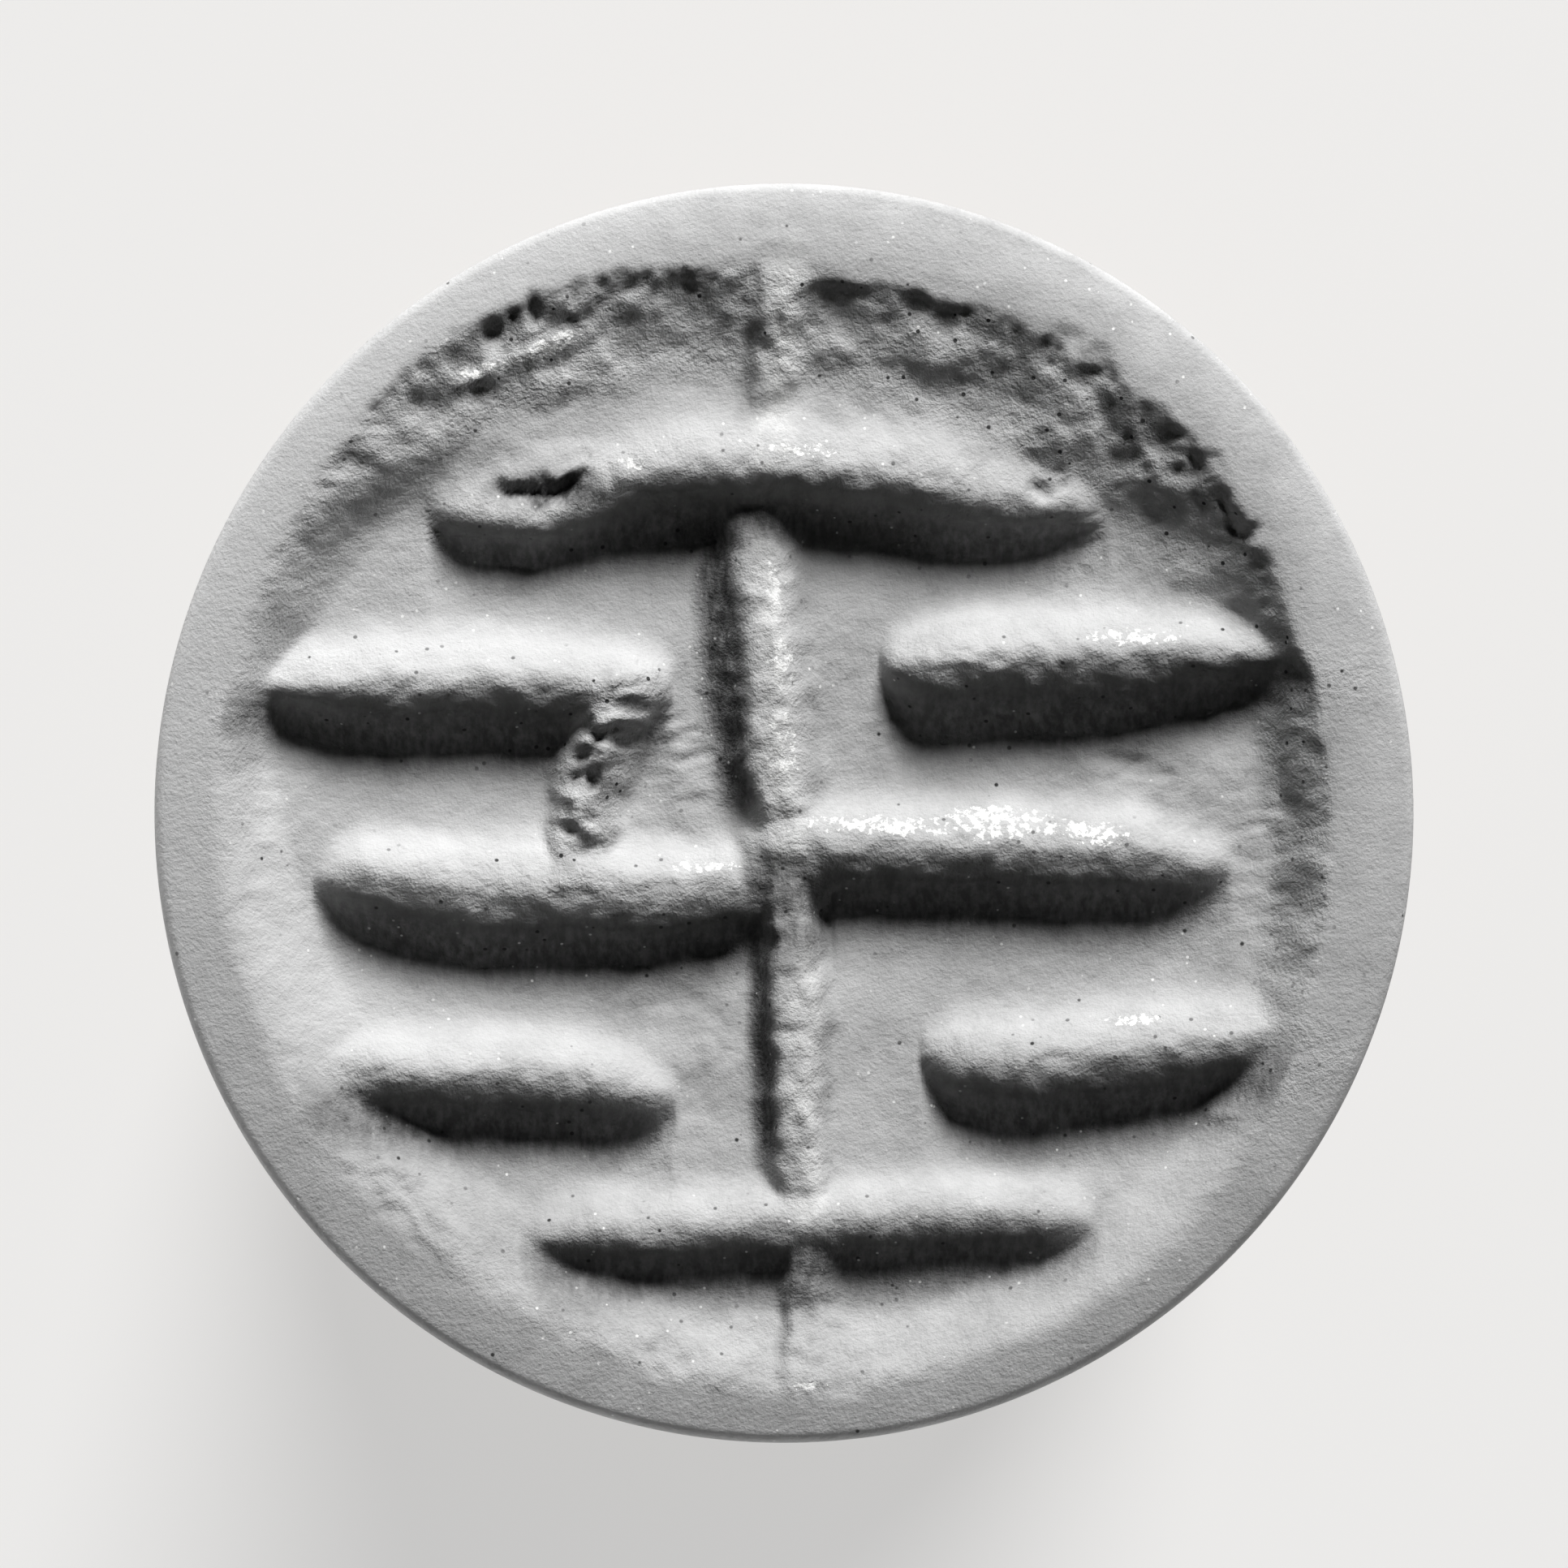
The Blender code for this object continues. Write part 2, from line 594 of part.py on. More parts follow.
def butt_plate(brass):
    """A round plate with rounded edges and a countersunk hole, flat underneath."""
    outer = BUTT_DIAMETER / 2
    round_ = BUTT_EDGE_ROUND
    hole = BUTT_SCREW_DIAMETER / 2 + FIT_GAP
    sink = BUTT_SCREW_HEAD_DIAMETER / 2 + FIT_GAP
    profile = [(sink, 0)]
    profile += arc((outer - round_, round_), round_, -90, 0, 3)
    profile += arc((outer - round_, BUTT_THICKNESS - round_), round_, 0, 90, 3)
    profile += [(hole, BUTT_THICKNESS), (hole, SEAT_GAP + sink - hole), (sink, SEAT_GAP)]
    add_object("butt_plate", turned_mesh(profile, TURN_STEPS, ring=True), brass)


def butt_screw(steel):
    """A slotted countersunk wood screw, sunk a little under the plate's face."""
    top = BUTT_SCREW_HEAD_DIAMETER / 2
    shank = BUTT_SCREW_DIAMETER / 2
    face = SEAT_GAP
    profile = [
        (0, face),
        (top, face),
        (shank, face + top - shank),
        (shank, BUTT_SCREW_LENGTH),
        (0, BUTT_SCREW_LENGTH + BUTT_SCREW_TIP - SEAT_GAP),
    ]
    screw = add_object("butt_screw", turned_mesh(profile, INSERT_STEPS), steel)
    slot = bar_mesh(
        BUTT_SCREW_HEAD_DIAMETER + HIDDEN,
        BUTT_SCREW_SLOT_WIDTH,
        BUTT_SCREW_SLOT_DEPTH + HIDDEN,
        (0, 0, face + BUTT_SCREW_SLOT_DEPTH / 2 - HIDDEN / 2),
    )
    boolean(screw, "DIFFERENCE", helper(add_object("butt_slot", slot)))


def main():
    clear_scene()
    stone = make_material("grey_stone", (0.46, 0.46, 0.46), 0.85, 0.0)
    brass = make_material("aged_brass", (0.62, 0.44, 0.18), 0.35, 1.0)
    steel = make_material("steel", (0.56, 0.56, 0.57), 0.35, 1.0)
    wood = make_material("walnut", (0.17, 0.085, 0.045), 0.45, 0.0)
    leather = make_material("leather", (0.12, 0.06, 0.035), 0.8, 0.0)
    cement = make_material("cement", (0.10, 0.05, 0.03), 0.6, 0.0)

    head = add_empty("head_axis", Z_BOSS)
    seal_die(stone, head)
    die_bedding(cement, head)
    die_cup(brass, head)
    head_screw(steel, head)
    friction_washer(leather)
    ferrule(brass)
    ferrule_pins(brass)
    thread_insert(brass)
    handle(wood)
    index_stud(brass)
    butt_plate(brass)
    butt_screw(steel)


main()
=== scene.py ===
import math
from functools import partial

import bpy
import numpy as np
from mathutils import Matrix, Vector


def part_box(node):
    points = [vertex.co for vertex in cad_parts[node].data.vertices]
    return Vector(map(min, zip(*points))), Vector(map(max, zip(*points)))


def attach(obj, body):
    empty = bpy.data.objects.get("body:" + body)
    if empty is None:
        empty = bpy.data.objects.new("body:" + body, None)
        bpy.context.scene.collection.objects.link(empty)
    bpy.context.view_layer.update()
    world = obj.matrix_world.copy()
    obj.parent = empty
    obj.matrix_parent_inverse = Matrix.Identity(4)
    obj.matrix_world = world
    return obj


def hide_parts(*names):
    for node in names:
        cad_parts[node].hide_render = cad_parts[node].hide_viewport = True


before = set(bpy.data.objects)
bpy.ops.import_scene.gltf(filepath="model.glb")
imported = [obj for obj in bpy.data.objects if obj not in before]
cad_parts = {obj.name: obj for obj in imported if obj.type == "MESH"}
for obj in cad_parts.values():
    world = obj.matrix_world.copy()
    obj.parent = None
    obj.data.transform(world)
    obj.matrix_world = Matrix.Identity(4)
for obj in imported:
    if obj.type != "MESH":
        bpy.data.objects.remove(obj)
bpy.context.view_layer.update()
mm = 0.001
print("frame loaded,", len(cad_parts), "nodes")


# Curves and noise in the plane

slopeCount, spotCount = 256, 64  # seeded values that a noise holds before it repeats


def smoothStep(low, high, value):
    # 0 at low and beyond, 1 at high and beyond, with t^2 (3 - 2t) between them
    t = np.clip((value - low) / (high - low), 0, 1)
    return t * t * (3 - 2 * t)


def quintic(t):
    # a step from 0 to 1 with a level start and end, steepest half way: t^3 (6t^2 - 15t + 10)
    t = np.clip(t, 0, 1)
    return t ** 3 * (t * (t * 6 - 15) + 10)


def bell(value, middle, width):
    # 1 at the middle, falling as exp(-((value - middle) / width)^2)
    return np.exp(-((value - middle) / width) ** 2)


def softFloor(value, give):
    # the value well above 0, levelling out to 0 below it: half of value + sqrt(value^2 + give)
    return (value + np.sqrt(value ** 2 + give)) / 2


def softMax(a, b, width):
    # the larger of two heights, rounded off where they come within width of each other
    share = np.clip(0.5 + 0.5 * (a - b) / width, 0, 1)
    return a * share + b * (1 - share) + width * share * (1 - share)


def gradientNoise(x, y, seed):
    # a seeded slope at every whole-number corner, read at the point and blended by a quintic: about -1 to 1
    rng = np.random.default_rng(seed)
    turn = rng.random(slopeCount) * 2 * np.pi
    shuffle = rng.permutation(slopeCount)
    cellX, cellY = np.floor(x).astype(int), np.floor(y).astype(int)
    inX, inY = x - cellX, y - cellY

    def corner(dx, dy):
        pick = shuffle[(shuffle[(cellX + dx) % slopeCount] + cellY + dy) % slopeCount]
        return np.cos(turn[pick]) * (inX - dx) + np.sin(turn[pick]) * (inY - dy)

    blendX, blendY = quintic(inX), quintic(inY)
    low = corner(0, 0) * (1 - blendX) + corner(1, 0) * blendX
    high = corner(0, 1) * (1 - blendX) + corner(1, 1) * blendX
    return 1.5 * (low * (1 - blendY) + high * blendY)


def layeredNoise(x, y, size, layers, seed):
    # sum of noises, each half as wide and half as strong as the one before; size is the widest bump's width
    total, strength = 0.0, 1.0
    for layer in range(layers):
        total = total + strength * gradientNoise(x / size, y / size, seed + layer)
        size, strength = size / 2, strength / 2
    return total


def cellDistance(x, y, size, seed):
    # distance to the nearest of the points strewn one to a cell, in cell widths
    rng = np.random.default_rng(seed)
    spotX, spotY = rng.random((spotCount, spotCount)), rng.random((spotCount, spotCount))
    x, y = x / size, y / size
    cellX, cellY = np.floor(x).astype(int), np.floor(y).astype(int)
    nearest = np.full(x.shape, np.inf)
    for dx in (-1, 0, 1):
        for dy in (-1, 0, 1):
            i, j = (cellX + dx) % spotCount, (cellY + dy) % spotCount
            away = np.hypot(cellX + dx + spotX[i, j] - x, cellY + dy + spotY[i, j] - y)
            nearest = np.minimum(nearest, away)
    return nearest


# Meshes

def span(node):
    # the foot and top of a node's box, in mm
    low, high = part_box(node)
    return low.z / mm, high.z / mm


def middle(node):
    low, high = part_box(node)
    return np.array((low + high) / 2 / mm) * mm


def meshFrom(name, points, faces):
    mesh = bpy.data.meshes.new(name)
    mesh.from_pydata(points, [], faces)
    return mesh


def addObject(name, data):
    thing = bpy.data.objects.new(name, data)
    bpy.context.scene.collection.objects.link(thing)
    return thing


def putPiece(name, points, faces, finish, body, nodes, slotName):
    mesh = meshFrom(name, points, faces)
    mesh.shade_smooth()
    mesh.materials.append(finish)
    piece = addObject(name, mesh)
    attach(piece, body)
    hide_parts(*nodes)
    print("made", name, len(mesh.polygons), "faces")
    return piece


def addMask(piece, name, values):
    layer = piece.data.attributes.new(name, "FLOAT", "POINT")
    layer.data.foreach_set("value", np.asarray(values, np.float32))


def pointsOf(piece):
    # x, y, z and distance from the Z axis of every point, in mm
    flat = np.empty(len(piece.data.vertices) * 3, np.float32)
    piece.data.vertices.foreach_get("co", flat)
    x, y, z = flat.reshape(-1, 3).T / mm
    return x, y, z, np.hypot(x, y)


def gridFaces(rows, columns, closeRows, closeColumns):
    # the four-cornered faces between the points of a rows x columns grid
    i = np.arange(rows if closeRows else rows - 1)[:, None]
    j = np.arange(columns if closeColumns else columns - 1)[None, :]
    nextI, nextJ = (i + 1) % rows, (j + 1) % columns
    corners = [i * columns + j, i * columns + nextJ, nextI * columns + nextJ, nextI * columns + j]
    return np.stack(np.broadcast_arrays(*corners), -1).reshape(-1, 4).tolist()


def splitLeg(start, end, longest):
    # the points strictly between two ends, evenly spread
    count = int(np.ceil(np.linalg.norm(end - start) / longest))
    return start + (end - start) * (np.arange(1, count) / count)[:, None]


def roundedLine(corners, longest=0.5, bendSteps=6):
    # a line through (radius, height, rounding) corners in mm: each corner is swapped for a quadratic bend
    # that leaves its two legs a rounding away, and legs are split so that no step is over the longest
    corners = np.array(corners, float)
    spots, rounding = corners[:, :2], corners[:, 2]
    t = np.linspace(0, 1, bendSteps)[:, None]
    bends = []
    for k in range(len(spots)):
        if rounding[k] == 0:
            bends.append(spots[k:k + 1])
            continue
        before, after = spots[k - 1] - spots[k], spots[(k + 1) % len(spots)] - spots[k]
        start = spots[k] + before / np.linalg.norm(before) * rounding[k]
        end = spots[k] + after / np.linalg.norm(after) * rounding[k]
        bends.append((1 - t) ** 2 * start + 2 * t * (1 - t) * spots[k] + t ** 2 * end)
    line = [bends[0]]
    for bend in bends[1:]:
        line.append(splitLeg(line[-1][-1], bend[0], longest))
        line.append(bend)
    return np.concatenate(line)


def refineLine(line, level, reach, inner, step=0.06):
    # more rings within reach of a level where scribed lines run, outside the inner radius
    fine = [line[:1]]
    for start, end in zip(line, line[1:]):
        if abs((start[1] + end[1]) / 2 - level) < reach and start[0] > inner:
            fine.append(splitLeg(start, end, step))
        fine.append(end[None])
    return np.concatenate(fine)


def turnedShape(line, columns, dress=None):
    # each (radius, height) of the line, its radius dressed, is carried once round Z: (r cos a, r sin a, h);
    # a line that starts and ends on the axis closes in two poles, any other closes on itself
    solid = line[0, 0] < 1e-6
    rows = line[1:-1] if solid else line
    radius, height = rows[:, :1], rows[:, 1:]
    angle = np.arange(columns)[None, :] * 2 * np.pi / columns
    if dress:
        radius = dress(radius, height, angle)
    turned = np.broadcast_arrays(radius * np.cos(angle), radius * np.sin(angle), height)
    points = np.stack(turned, -1).reshape(-1, 3)
    faces = gridFaces(len(rows), columns, not solid, True)
    if solid:
        j = np.arange(columns)
        nextJ = (j + 1) % columns
        foot, top, last = len(points), len(points) + 1, (len(rows) - 1) * columns
        faces += np.stack([np.full(columns, foot), nextJ, j], -1).tolist()
        faces += np.stack([last + j, last + nextJ, np.full(columns, top)], -1).tolist()
        points = np.concatenate([points, [[0, 0, line[0, 1]], [0, 0, line[-1, 1]]]])
    return points * mm, faces


def turnPiece(name, line, columns, dress, *belongs):
    points, faces = turnedShape(line, columns, dress)
    return putPiece(name, points, faces, *belongs)


def slotCutter(width, low, high, reach):
    # a bar along X, made as a 2 x 4 grid: a square section carried from -reach to reach
    section = np.array([(-width, low), (width, low), (width, high), (-width, high)]) * [0.5, 1]
    points = np.array([(x, y, z) for x in (-reach, reach) for y, z in section]) * mm
    faces = [(0, 3, 2, 1), (4, 5, 6, 7), (0, 1, 5, 4), (1, 2, 6, 5), (2, 3, 7, 6), (3, 0, 4, 7)]
    return addObject("cutter", meshFrom("cutter", points, faces))


def rodCutter(node, axis, radius, half):
    # a plain round rod about the middle of a node's box, along X or Y
    line = np.array([(0, -half), (radius, -half), (radius, half), (0, half)], float)
    points, faces = turnedShape(line, 24)
    order = [2, 1, 0] if axis == "x" else [0, 2, 1]
    points = points[:, order] + middle(node)
    return addObject("cutter", meshFrom("cutter", points, [face[::-1] for face in faces]))


def carve(piece, *tools, sharp=40):
    # takes the tools' shapes out of the piece for good, then throws the tools away
    for tool in tools:
        cut = piece.modifiers.new("cut", "BOOLEAN")
        cut.operation, cut.object, cut.solver = "DIFFERENCE", tool, "EXACT"
    seen = piece.evaluated_get(bpy.context.evaluated_depsgraph_get())
    carved = bpy.data.meshes.new_from_object(seen)
    piece.modifiers.clear()
    old, piece.data = piece.data, carved
    bpy.data.meshes.remove(old)
    carved.name = piece.name
    carved.shade_smooth()
    carved.set_sharp_from_angle(angle=math.radians(sharp))
    for tool in tools:
        bpy.data.objects.remove(tool)


# Finishes: each node is put in the tree of a socket that it is fed from

def feed(node, feeds):
    # another node's output is linked to the input of that name, a number or colour is set on it
    for name, value in feeds.items():
        if isinstance(value, bpy.types.NodeSocket):
            node.id_data.links.new(value, node.inputs[name])
        elif value is not None:
            node.inputs[name].default_value = value
    return node


def addNode(near, kind, feeds):
    return feed(near.id_data.nodes.new("ShaderNode" + kind), feeds)


def newFinish(name):
    finish = bpy.data.materials.new(name)
    finish.use_nodes = True
    nodes = finish.node_tree.nodes
    return finish, nodes["Principled BSDF"], nodes.new("ShaderNodeTexCoord").outputs["Object"]


def stretched(place, scale):
    return addNode(place, "Mapping", {"Vector": place, "Scale": scale}).outputs["Vector"]


def axes(place):
    return addNode(place, "SeparateXYZ", {0: place}).outputs


def noise(place, perMetre, detail=3.0, rough=0.55, warp=0.0):
    shape = {"Scale": perMetre, "Detail": detail, "Roughness": rough, "Distortion": warp}
    return addNode(place, "TexNoise", {"Vector": place, **shape}).outputs["Fac"]


def cells(place, perMetre):
    return addNode(place, "TexVoronoi", {"Vector": place, "Scale": perMetre}).outputs["Distance"]


def attribute(place, name):
    node = addNode(place, "Attribute", {})
    node.attribute_name = name
    return node.outputs["Fac"]


def calc(operation, a, b=None):
    node = addNode(a, "Math", {0: a, 1: b})
    node.operation = operation
    return node.outputs["Value"]


def times(a, b):
    return calc("MULTIPLY", a, b)


def spread(value, low, high, toLow=0.0, toHigh=1.0):
    # low..high carried to toLow..toHigh and held beyond
    ends = {"From Min": low, "From Max": high, "To Min": toLow, "To Max": toHigh}
    return addNode(value, "MapRange", {"Value": value, **ends}).outputs["Result"]


def blend(share, first, second):
    # the first colour where the share is 0, the second where it is 1
    node = addNode(share, "Mix", {})
    node.data_type = "RGBA"
    used = [k for k, socket in enumerate(node.inputs) if socket.enabled]
    values = [(*value, 1) if isinstance(value, tuple) else value for value in (share, first, second)]
    feed(node, dict(zip(used, values)))
    return next(socket for socket in node.outputs if socket.enabled)


def coated(body, *coats):
    # each coat's colour laid over the ones before it where its share says
    for share, colour in coats:
        body = blend(share, body, colour)
    return body


def relief(height, depth, under=None):
    return addNode(height, "Bump", {"Height": height, "Distance": depth, "Normal": under}).outputs["Normal"]


def turnedCoordinates(place):
    # (distance from the Z axis, height): a pattern on these runs round in the lathe's own circles
    along = axes(place)
    square = calc("ADD", calc("POWER", along["X"], 2.0), calc("POWER", along["Y"], 2.0))
    return addNode(place, "CombineXYZ", {"X": calc("SQRT", square), "Y": along["Z"]}).outputs[0]


# colours and shares, then bumps, spots and crumbs to the metre, then metres
stoneLook = {
    "dark": (0.375, 0.375, 0.375), "light": (0.52, 0.52, 0.52), "chalk": (0.86, 0.86, 0.85),
    "pale": (0.62, 0.62, 0.62), "paintedShade": (0.05, 0.05, 0.05),
    "paintedShadeShare": 0.92, "grainShare": 0.55, "paleShare": 0.8, "chalkShare": 0.45, "poreShare": 1.6,
    "mottle": 900, "grain": 9000, "highlightNoise": 2100, "patches": 2800, "pores": 2300, "poreFields": 700,
    "crumbs": 6500, "dust": 3100, "dustFields": 520, "coarseSkin": 3400, "fineSkin": 12000,
    "skinDepth": 0.00002, "paleX": (-0.0125, 0.004), "paleY": (-0.009, 0.0),
}


def stoneFinish():
    look = stoneLook
    finish, shader, place = newFinish("carvedStone")
    mottle = spread(noise(place, look["mottle"], 4), 0.3, 0.7)
    grain = spread(noise(place, look["grain"]), 0.32, 0.68)
    # painted light: the stone is painted paler towards -X, less so towards -Y, as if that side were lit more
    along = axes(place)
    side = spread(along["X"], *look["paleX"], look["paleShare"], 0)
    side = times(side, spread(along["Y"], *look["paleY"]))
    # painted highlight and wear: crests painted paler, broken up by a noise
    wearAndHighlight = times(attribute(place, "wearAndHighlight"), spread(noise(place, look["highlightNoise"]), 0.35, 0.65, 0.1, 0.6))
    # painted shade in the hollows under the bars and in the wall's pits, and dark pores that gather in it
    # and where a wide noise lets them
    patchy = spread(noise(stretched(place, (2.0, 0.8, 1)), look["patches"], 4, 0.65), 0.36, 0.6, 0.7, 1.0)
    paintedShade = times(attribute(place, "paintedShade"), patchy)
    rough = attribute(place, "rough")
    poreField = spread(noise(place, look["poreFields"], 2), 0.5, 0.62)
    poreField = calc("MAXIMUM", times(rough, look["poreShare"]), poreField)
    pore = times(spread(cells(place, look["pores"]), 0.07, 0.12, 1, 0), poreField)
    # white crust broken into crumbs, and loose specks of it
    crumbs = noise(place, look["crumbs"], 3, 0.65)
    crust = spread(calc("ADD", times(attribute(place, "chalk"), look["chalkShare"]), crumbs), 0.9, 0.95)
    dustField = spread(noise(stretched(place, (1, 1, 1.3)), look["dustFields"], 2), 0.44, 0.6)
    dust = times(spread(cells(place, look["dust"]), 0.07, 0.11, 1, 0), dustField)
    body = coated(
        blend(mottle, look["dark"], look["light"]), (times(grain, look["grainShare"]), look["light"]),
        (side, look["pale"]), (wearAndHighlight, look["chalk"]), (times(paintedShade, look["paintedShadeShare"]), look["paintedShade"]),
        # dark pores take the painted shade's colour
        (pore, look["paintedShade"]), (calc("MAXIMUM", crust, dust), look["chalk"]))
    # grain in two sizes, stronger where the stone is broken
    harsh = spread(rough, 0, 1, 1.0, 2.4)
    skin = relief(times(noise(place, look["coarseSkin"], 4, 0.6), harsh), look["skinDepth"])
    skin = relief(times(noise(place, look["fineSkin"], 3, 0.65), harsh), look["skinDepth"], skin)
    feed(shader, {"Base Color": body, "Roughness": spread(mottle, 0, 1, 0.8, 0.92), "Normal": skin,
                  "Specular IOR Level": 0.06})
    return finish


brassLook = {
    "bright": (0.66, 0.47, 0.20), "aged": (0.40, 0.265, 0.105), "tarnish": (0.17, 0.115, 0.06),
    "patches": 260, "spots": 1900, "lines": 16000, "dings": 2600,
    "lineDepth": 0.000006, "dingDepth": 0.000012,
}


def brassFinish():
    look = brassLook
    finish, shader, place = newFinish("agedBrass")
    patches = spread(noise(place, look["patches"], 5, 0.6, 0.6), 0.38, 0.66)
    spots = spread(noise(place, look["spots"], 4, 0.65), 0.60, 0.74)
    body = coated(blend(patches, look["bright"], look["aged"]), (times(spots, 0.7), look["tarnish"]),
                  (attribute(place, "grime"), look["tarnish"]))
    lines = noise(turnedCoordinates(place), look["lines"], 2, 0.7)
    dull = calc("ADD", spread(patches, 0, 1, 0.22, 0.42), times(lines, 0.12))
    dull = calc("ADD", dull, times(spots, 0.2))
    skin = relief(noise(place, look["dings"], 4), look["dingDepth"], relief(lines, look["lineDepth"]))
    feed(shader, {"Base Color": body, "Metallic": 1.0, "Roughness": dull, "Normal": skin})
    return finish


steelLook = {
    "bright": (0.60, 0.60, 0.61), "dull": (0.36, 0.355, 0.35), "rust": (0.16, 0.085, 0.045),
    "patches": 900, "rustSpots": 2300, "lines": 21000, "lineDepth": 0.000004,
}


def steelFinish():
    look = steelLook
    finish, shader, place = newFinish("screwSteel")
    patches = spread(noise(place, look["patches"], 4), 0.35, 0.7)
    rust = spread(noise(place, look["rustSpots"], 5, 0.65), 0.62, 0.75)
    body = coated(blend(patches, look["bright"], look["dull"]), (times(rust, 0.75), look["rust"]))
    lines = noise(turnedCoordinates(place), look["lines"], 2, 0.7)
    dull = calc("ADD", spread(lines, 0.2, 0.8, 0.24, 0.4), times(rust, 0.4))
    feed(shader, {"Base Color": body, "Metallic": spread(rust, 0, 1, 1, 0.3), "Roughness": dull,
                  "Normal": relief(lines, look["lineDepth"])})
    return finish


walnutLook = {
    "early": (0.22, 0.112, 0.056), "late": (0.092, 0.043, 0.022), "pore": (0.035, 0.017, 0.010),
    "wearAndHighlight": (0.30, 0.175, 0.10), "heart": (0.019, 0.006, 0), "lean": (0.05, -0.03, 0), "along": (1, 1, 0.10),
    "rings": 185, "fibre": (5200, 5200, 160), "pores": (4200, 4200, 330), "poreDepth": 0.00003,
}


def walnutFinish():
    look = walnutLook
    finish, shader, place = newFinish("oiledWalnut")
    # growth rings about a heart that lies beside the handle, wandering along the grain
    heart = addNode(place, "Mapping", {"Vector": place, "Location": look["heart"], "Rotation": look["lean"]})
    rings = addNode(place, "TexWave", {
        "Vector": stretched(heart.outputs["Vector"], look["along"]), "Scale": look["rings"],
        "Distortion": 1.9, "Detail": 3.0, "Detail Scale": 1.4})
    rings.wave_type, rings.rings_direction, rings.wave_profile = "RINGS", "Z", "SAW"
    body = blend(calc("POWER", rings.outputs["Fac"], 1.5), look["early"], look["late"])
    fibre = noise(stretched(place, look["fibre"]), 1.0, 3, 0.6)
    # open pores: short dark dashes along the grain
    pores = spread(cells(stretched(place, look["pores"]), 1.0), 0.13, 0.22, 1, 0)
    hold = attribute(place, "wearAndHighlight")
    body = coated(
        body, (spread(fibre, 0.35, 0.75, 0, 0.45), look["late"]), (times(pores, 0.8), look["pore"]),
        (times(hold, 0.45), look["wearAndHighlight"]), (times(attribute(place, "grime"), 0.75), look["pore"]))
    dull = calc("SUBTRACT", spread(fibre, 0.3, 0.7, 0.42, 0.58), times(hold, 0.14))
    skin = relief(calc("SUBTRACT", fibre, pores), look["poreDepth"])
    feed(shader, {"Base Color": body, "Roughness": dull, "Normal": skin, "Specular IOR Level": 0.42,
                  "Coat Weight": 0.12, "Coat Roughness": 0.3})
    return finish


leatherLook = {"light": (0.165, 0.085, 0.048), "dark": (0.055, 0.028, 0.018), "blotches": 700, "grain": 3300,
               "grainDepth": -0.00006}


def leatherFinish():
    look = leatherLook
    finish, shader, place = newFinish("washerLeather")
    grain = cells(place, look["grain"])
    blotches = spread(noise(place, look["blotches"], 4), 0.3, 0.7)
    creases = spread(grain, 0.45, 0.75, 0, 0.8)
    body = coated(blend(blotches, look["light"], look["dark"]), (creases, look["dark"]))
    feed(shader, {"Base Color": body, "Roughness": spread(grain, 0.2, 0.7, 0.6, 0.85),
                  "Normal": relief(grain, look["grainDepth"])})
    return finish


cementLook = {"dark": (0.07, 0.035, 0.022), "light": (0.14, 0.075, 0.045), "grain": 2600,
              "grainDepth": 0.00008}


def cementFinish():
    look = cementLook
    finish, shader, place = newFinish("beddingCement")
    grain = noise(place, look["grain"], 4)
    body = blend(spread(grain, 0.3, 0.7), look["dark"], look["light"])
    feed(shader, {"Base Color": body, "Roughness": spread(grain, 0.3, 0.7, 0.5, 0.8),
                  "Normal": relief(grain, look["grainDepth"])})
    return finish


stone, brass, steel = stoneFinish(), brassFinish(), steelFinish()
walnut, leather, cement = walnutFinish(), leatherFinish(), cementFinish()
print("finishes made")


# The carved stone die: lengths in mm, heights measured down from the rim's top

dieCut = {
    "grid": 272, "faceRadius": 12.5, "gridRadius": 12.32, "fineRadius": 11.9, "fineShare": 0.955,
    "floorDepth": 1.0, "topFloorRise": 0.4, "endFloorRise": 0.36, "rimStart": 11.1, "rimFall": (0.06, 0.16),
    "rimLean": (0.62, 0.15, 0.33), "ridgeStep": 0.2, "ridgePower": 5, "troughReach": 2.4, "barSoften": 0.26,
    "stemFlat": 0.3, "stemCap": 0.4, "rollDrop": 0.06, "wallTop": 1.6, "overCup": 0.08, "footRound": 0.6,
    "spigotRadius": 8.0,
}

# depth of each kind of wear on the face
dieWear = {
    "edge": 0.2, "floorWaves": 0.035, "floorLumps": 0.045, "lumps": 0.05, "smears": 0.12, "flakes": 0.03,
    "pits": 0.08, "bites": 0.08, "streaks": 0.006, "grain": 0.01, "rimGrain": 0.003,
}

# angle from +X in degrees, radius of the rim's inner edge, run of the wall below it, crumbling 0 to 1
rimStations = [
    (0, 10.9, 1.5, 0.6), (15, 10.88, 1.4, 0.6), (35, 10.94, 2.35, 0.9), (57, 11.0, 2.75, 1.0),
    (69, 10.76, 2.85, 0.9), (90, 10.9, 2.5, 0.85), (115, 11.31, 2.3, 1.0), (125, 11.71, 2.2, 0.9),
    (136, 11.63, 2.0, 0.6), (150, 11.42, 1.7, 0.35), (160, 11.36, 1.3, 0.2), (175, 11.4, 1.3, 0.15),
    (200, 11.4, 2.3, 0.1), (220, 11.37, 2.3, 0.3), (250, 11.4, 2.1, 0.35), (270, 11.75, 1.9, 0.5),
    (290, 11.55, 1.7, 0.12), (310, 11.75, 1.6, 0.05), (325, 11.45, 1.5, 0.05), (340, 11.15, 1.4, 0.35),
]

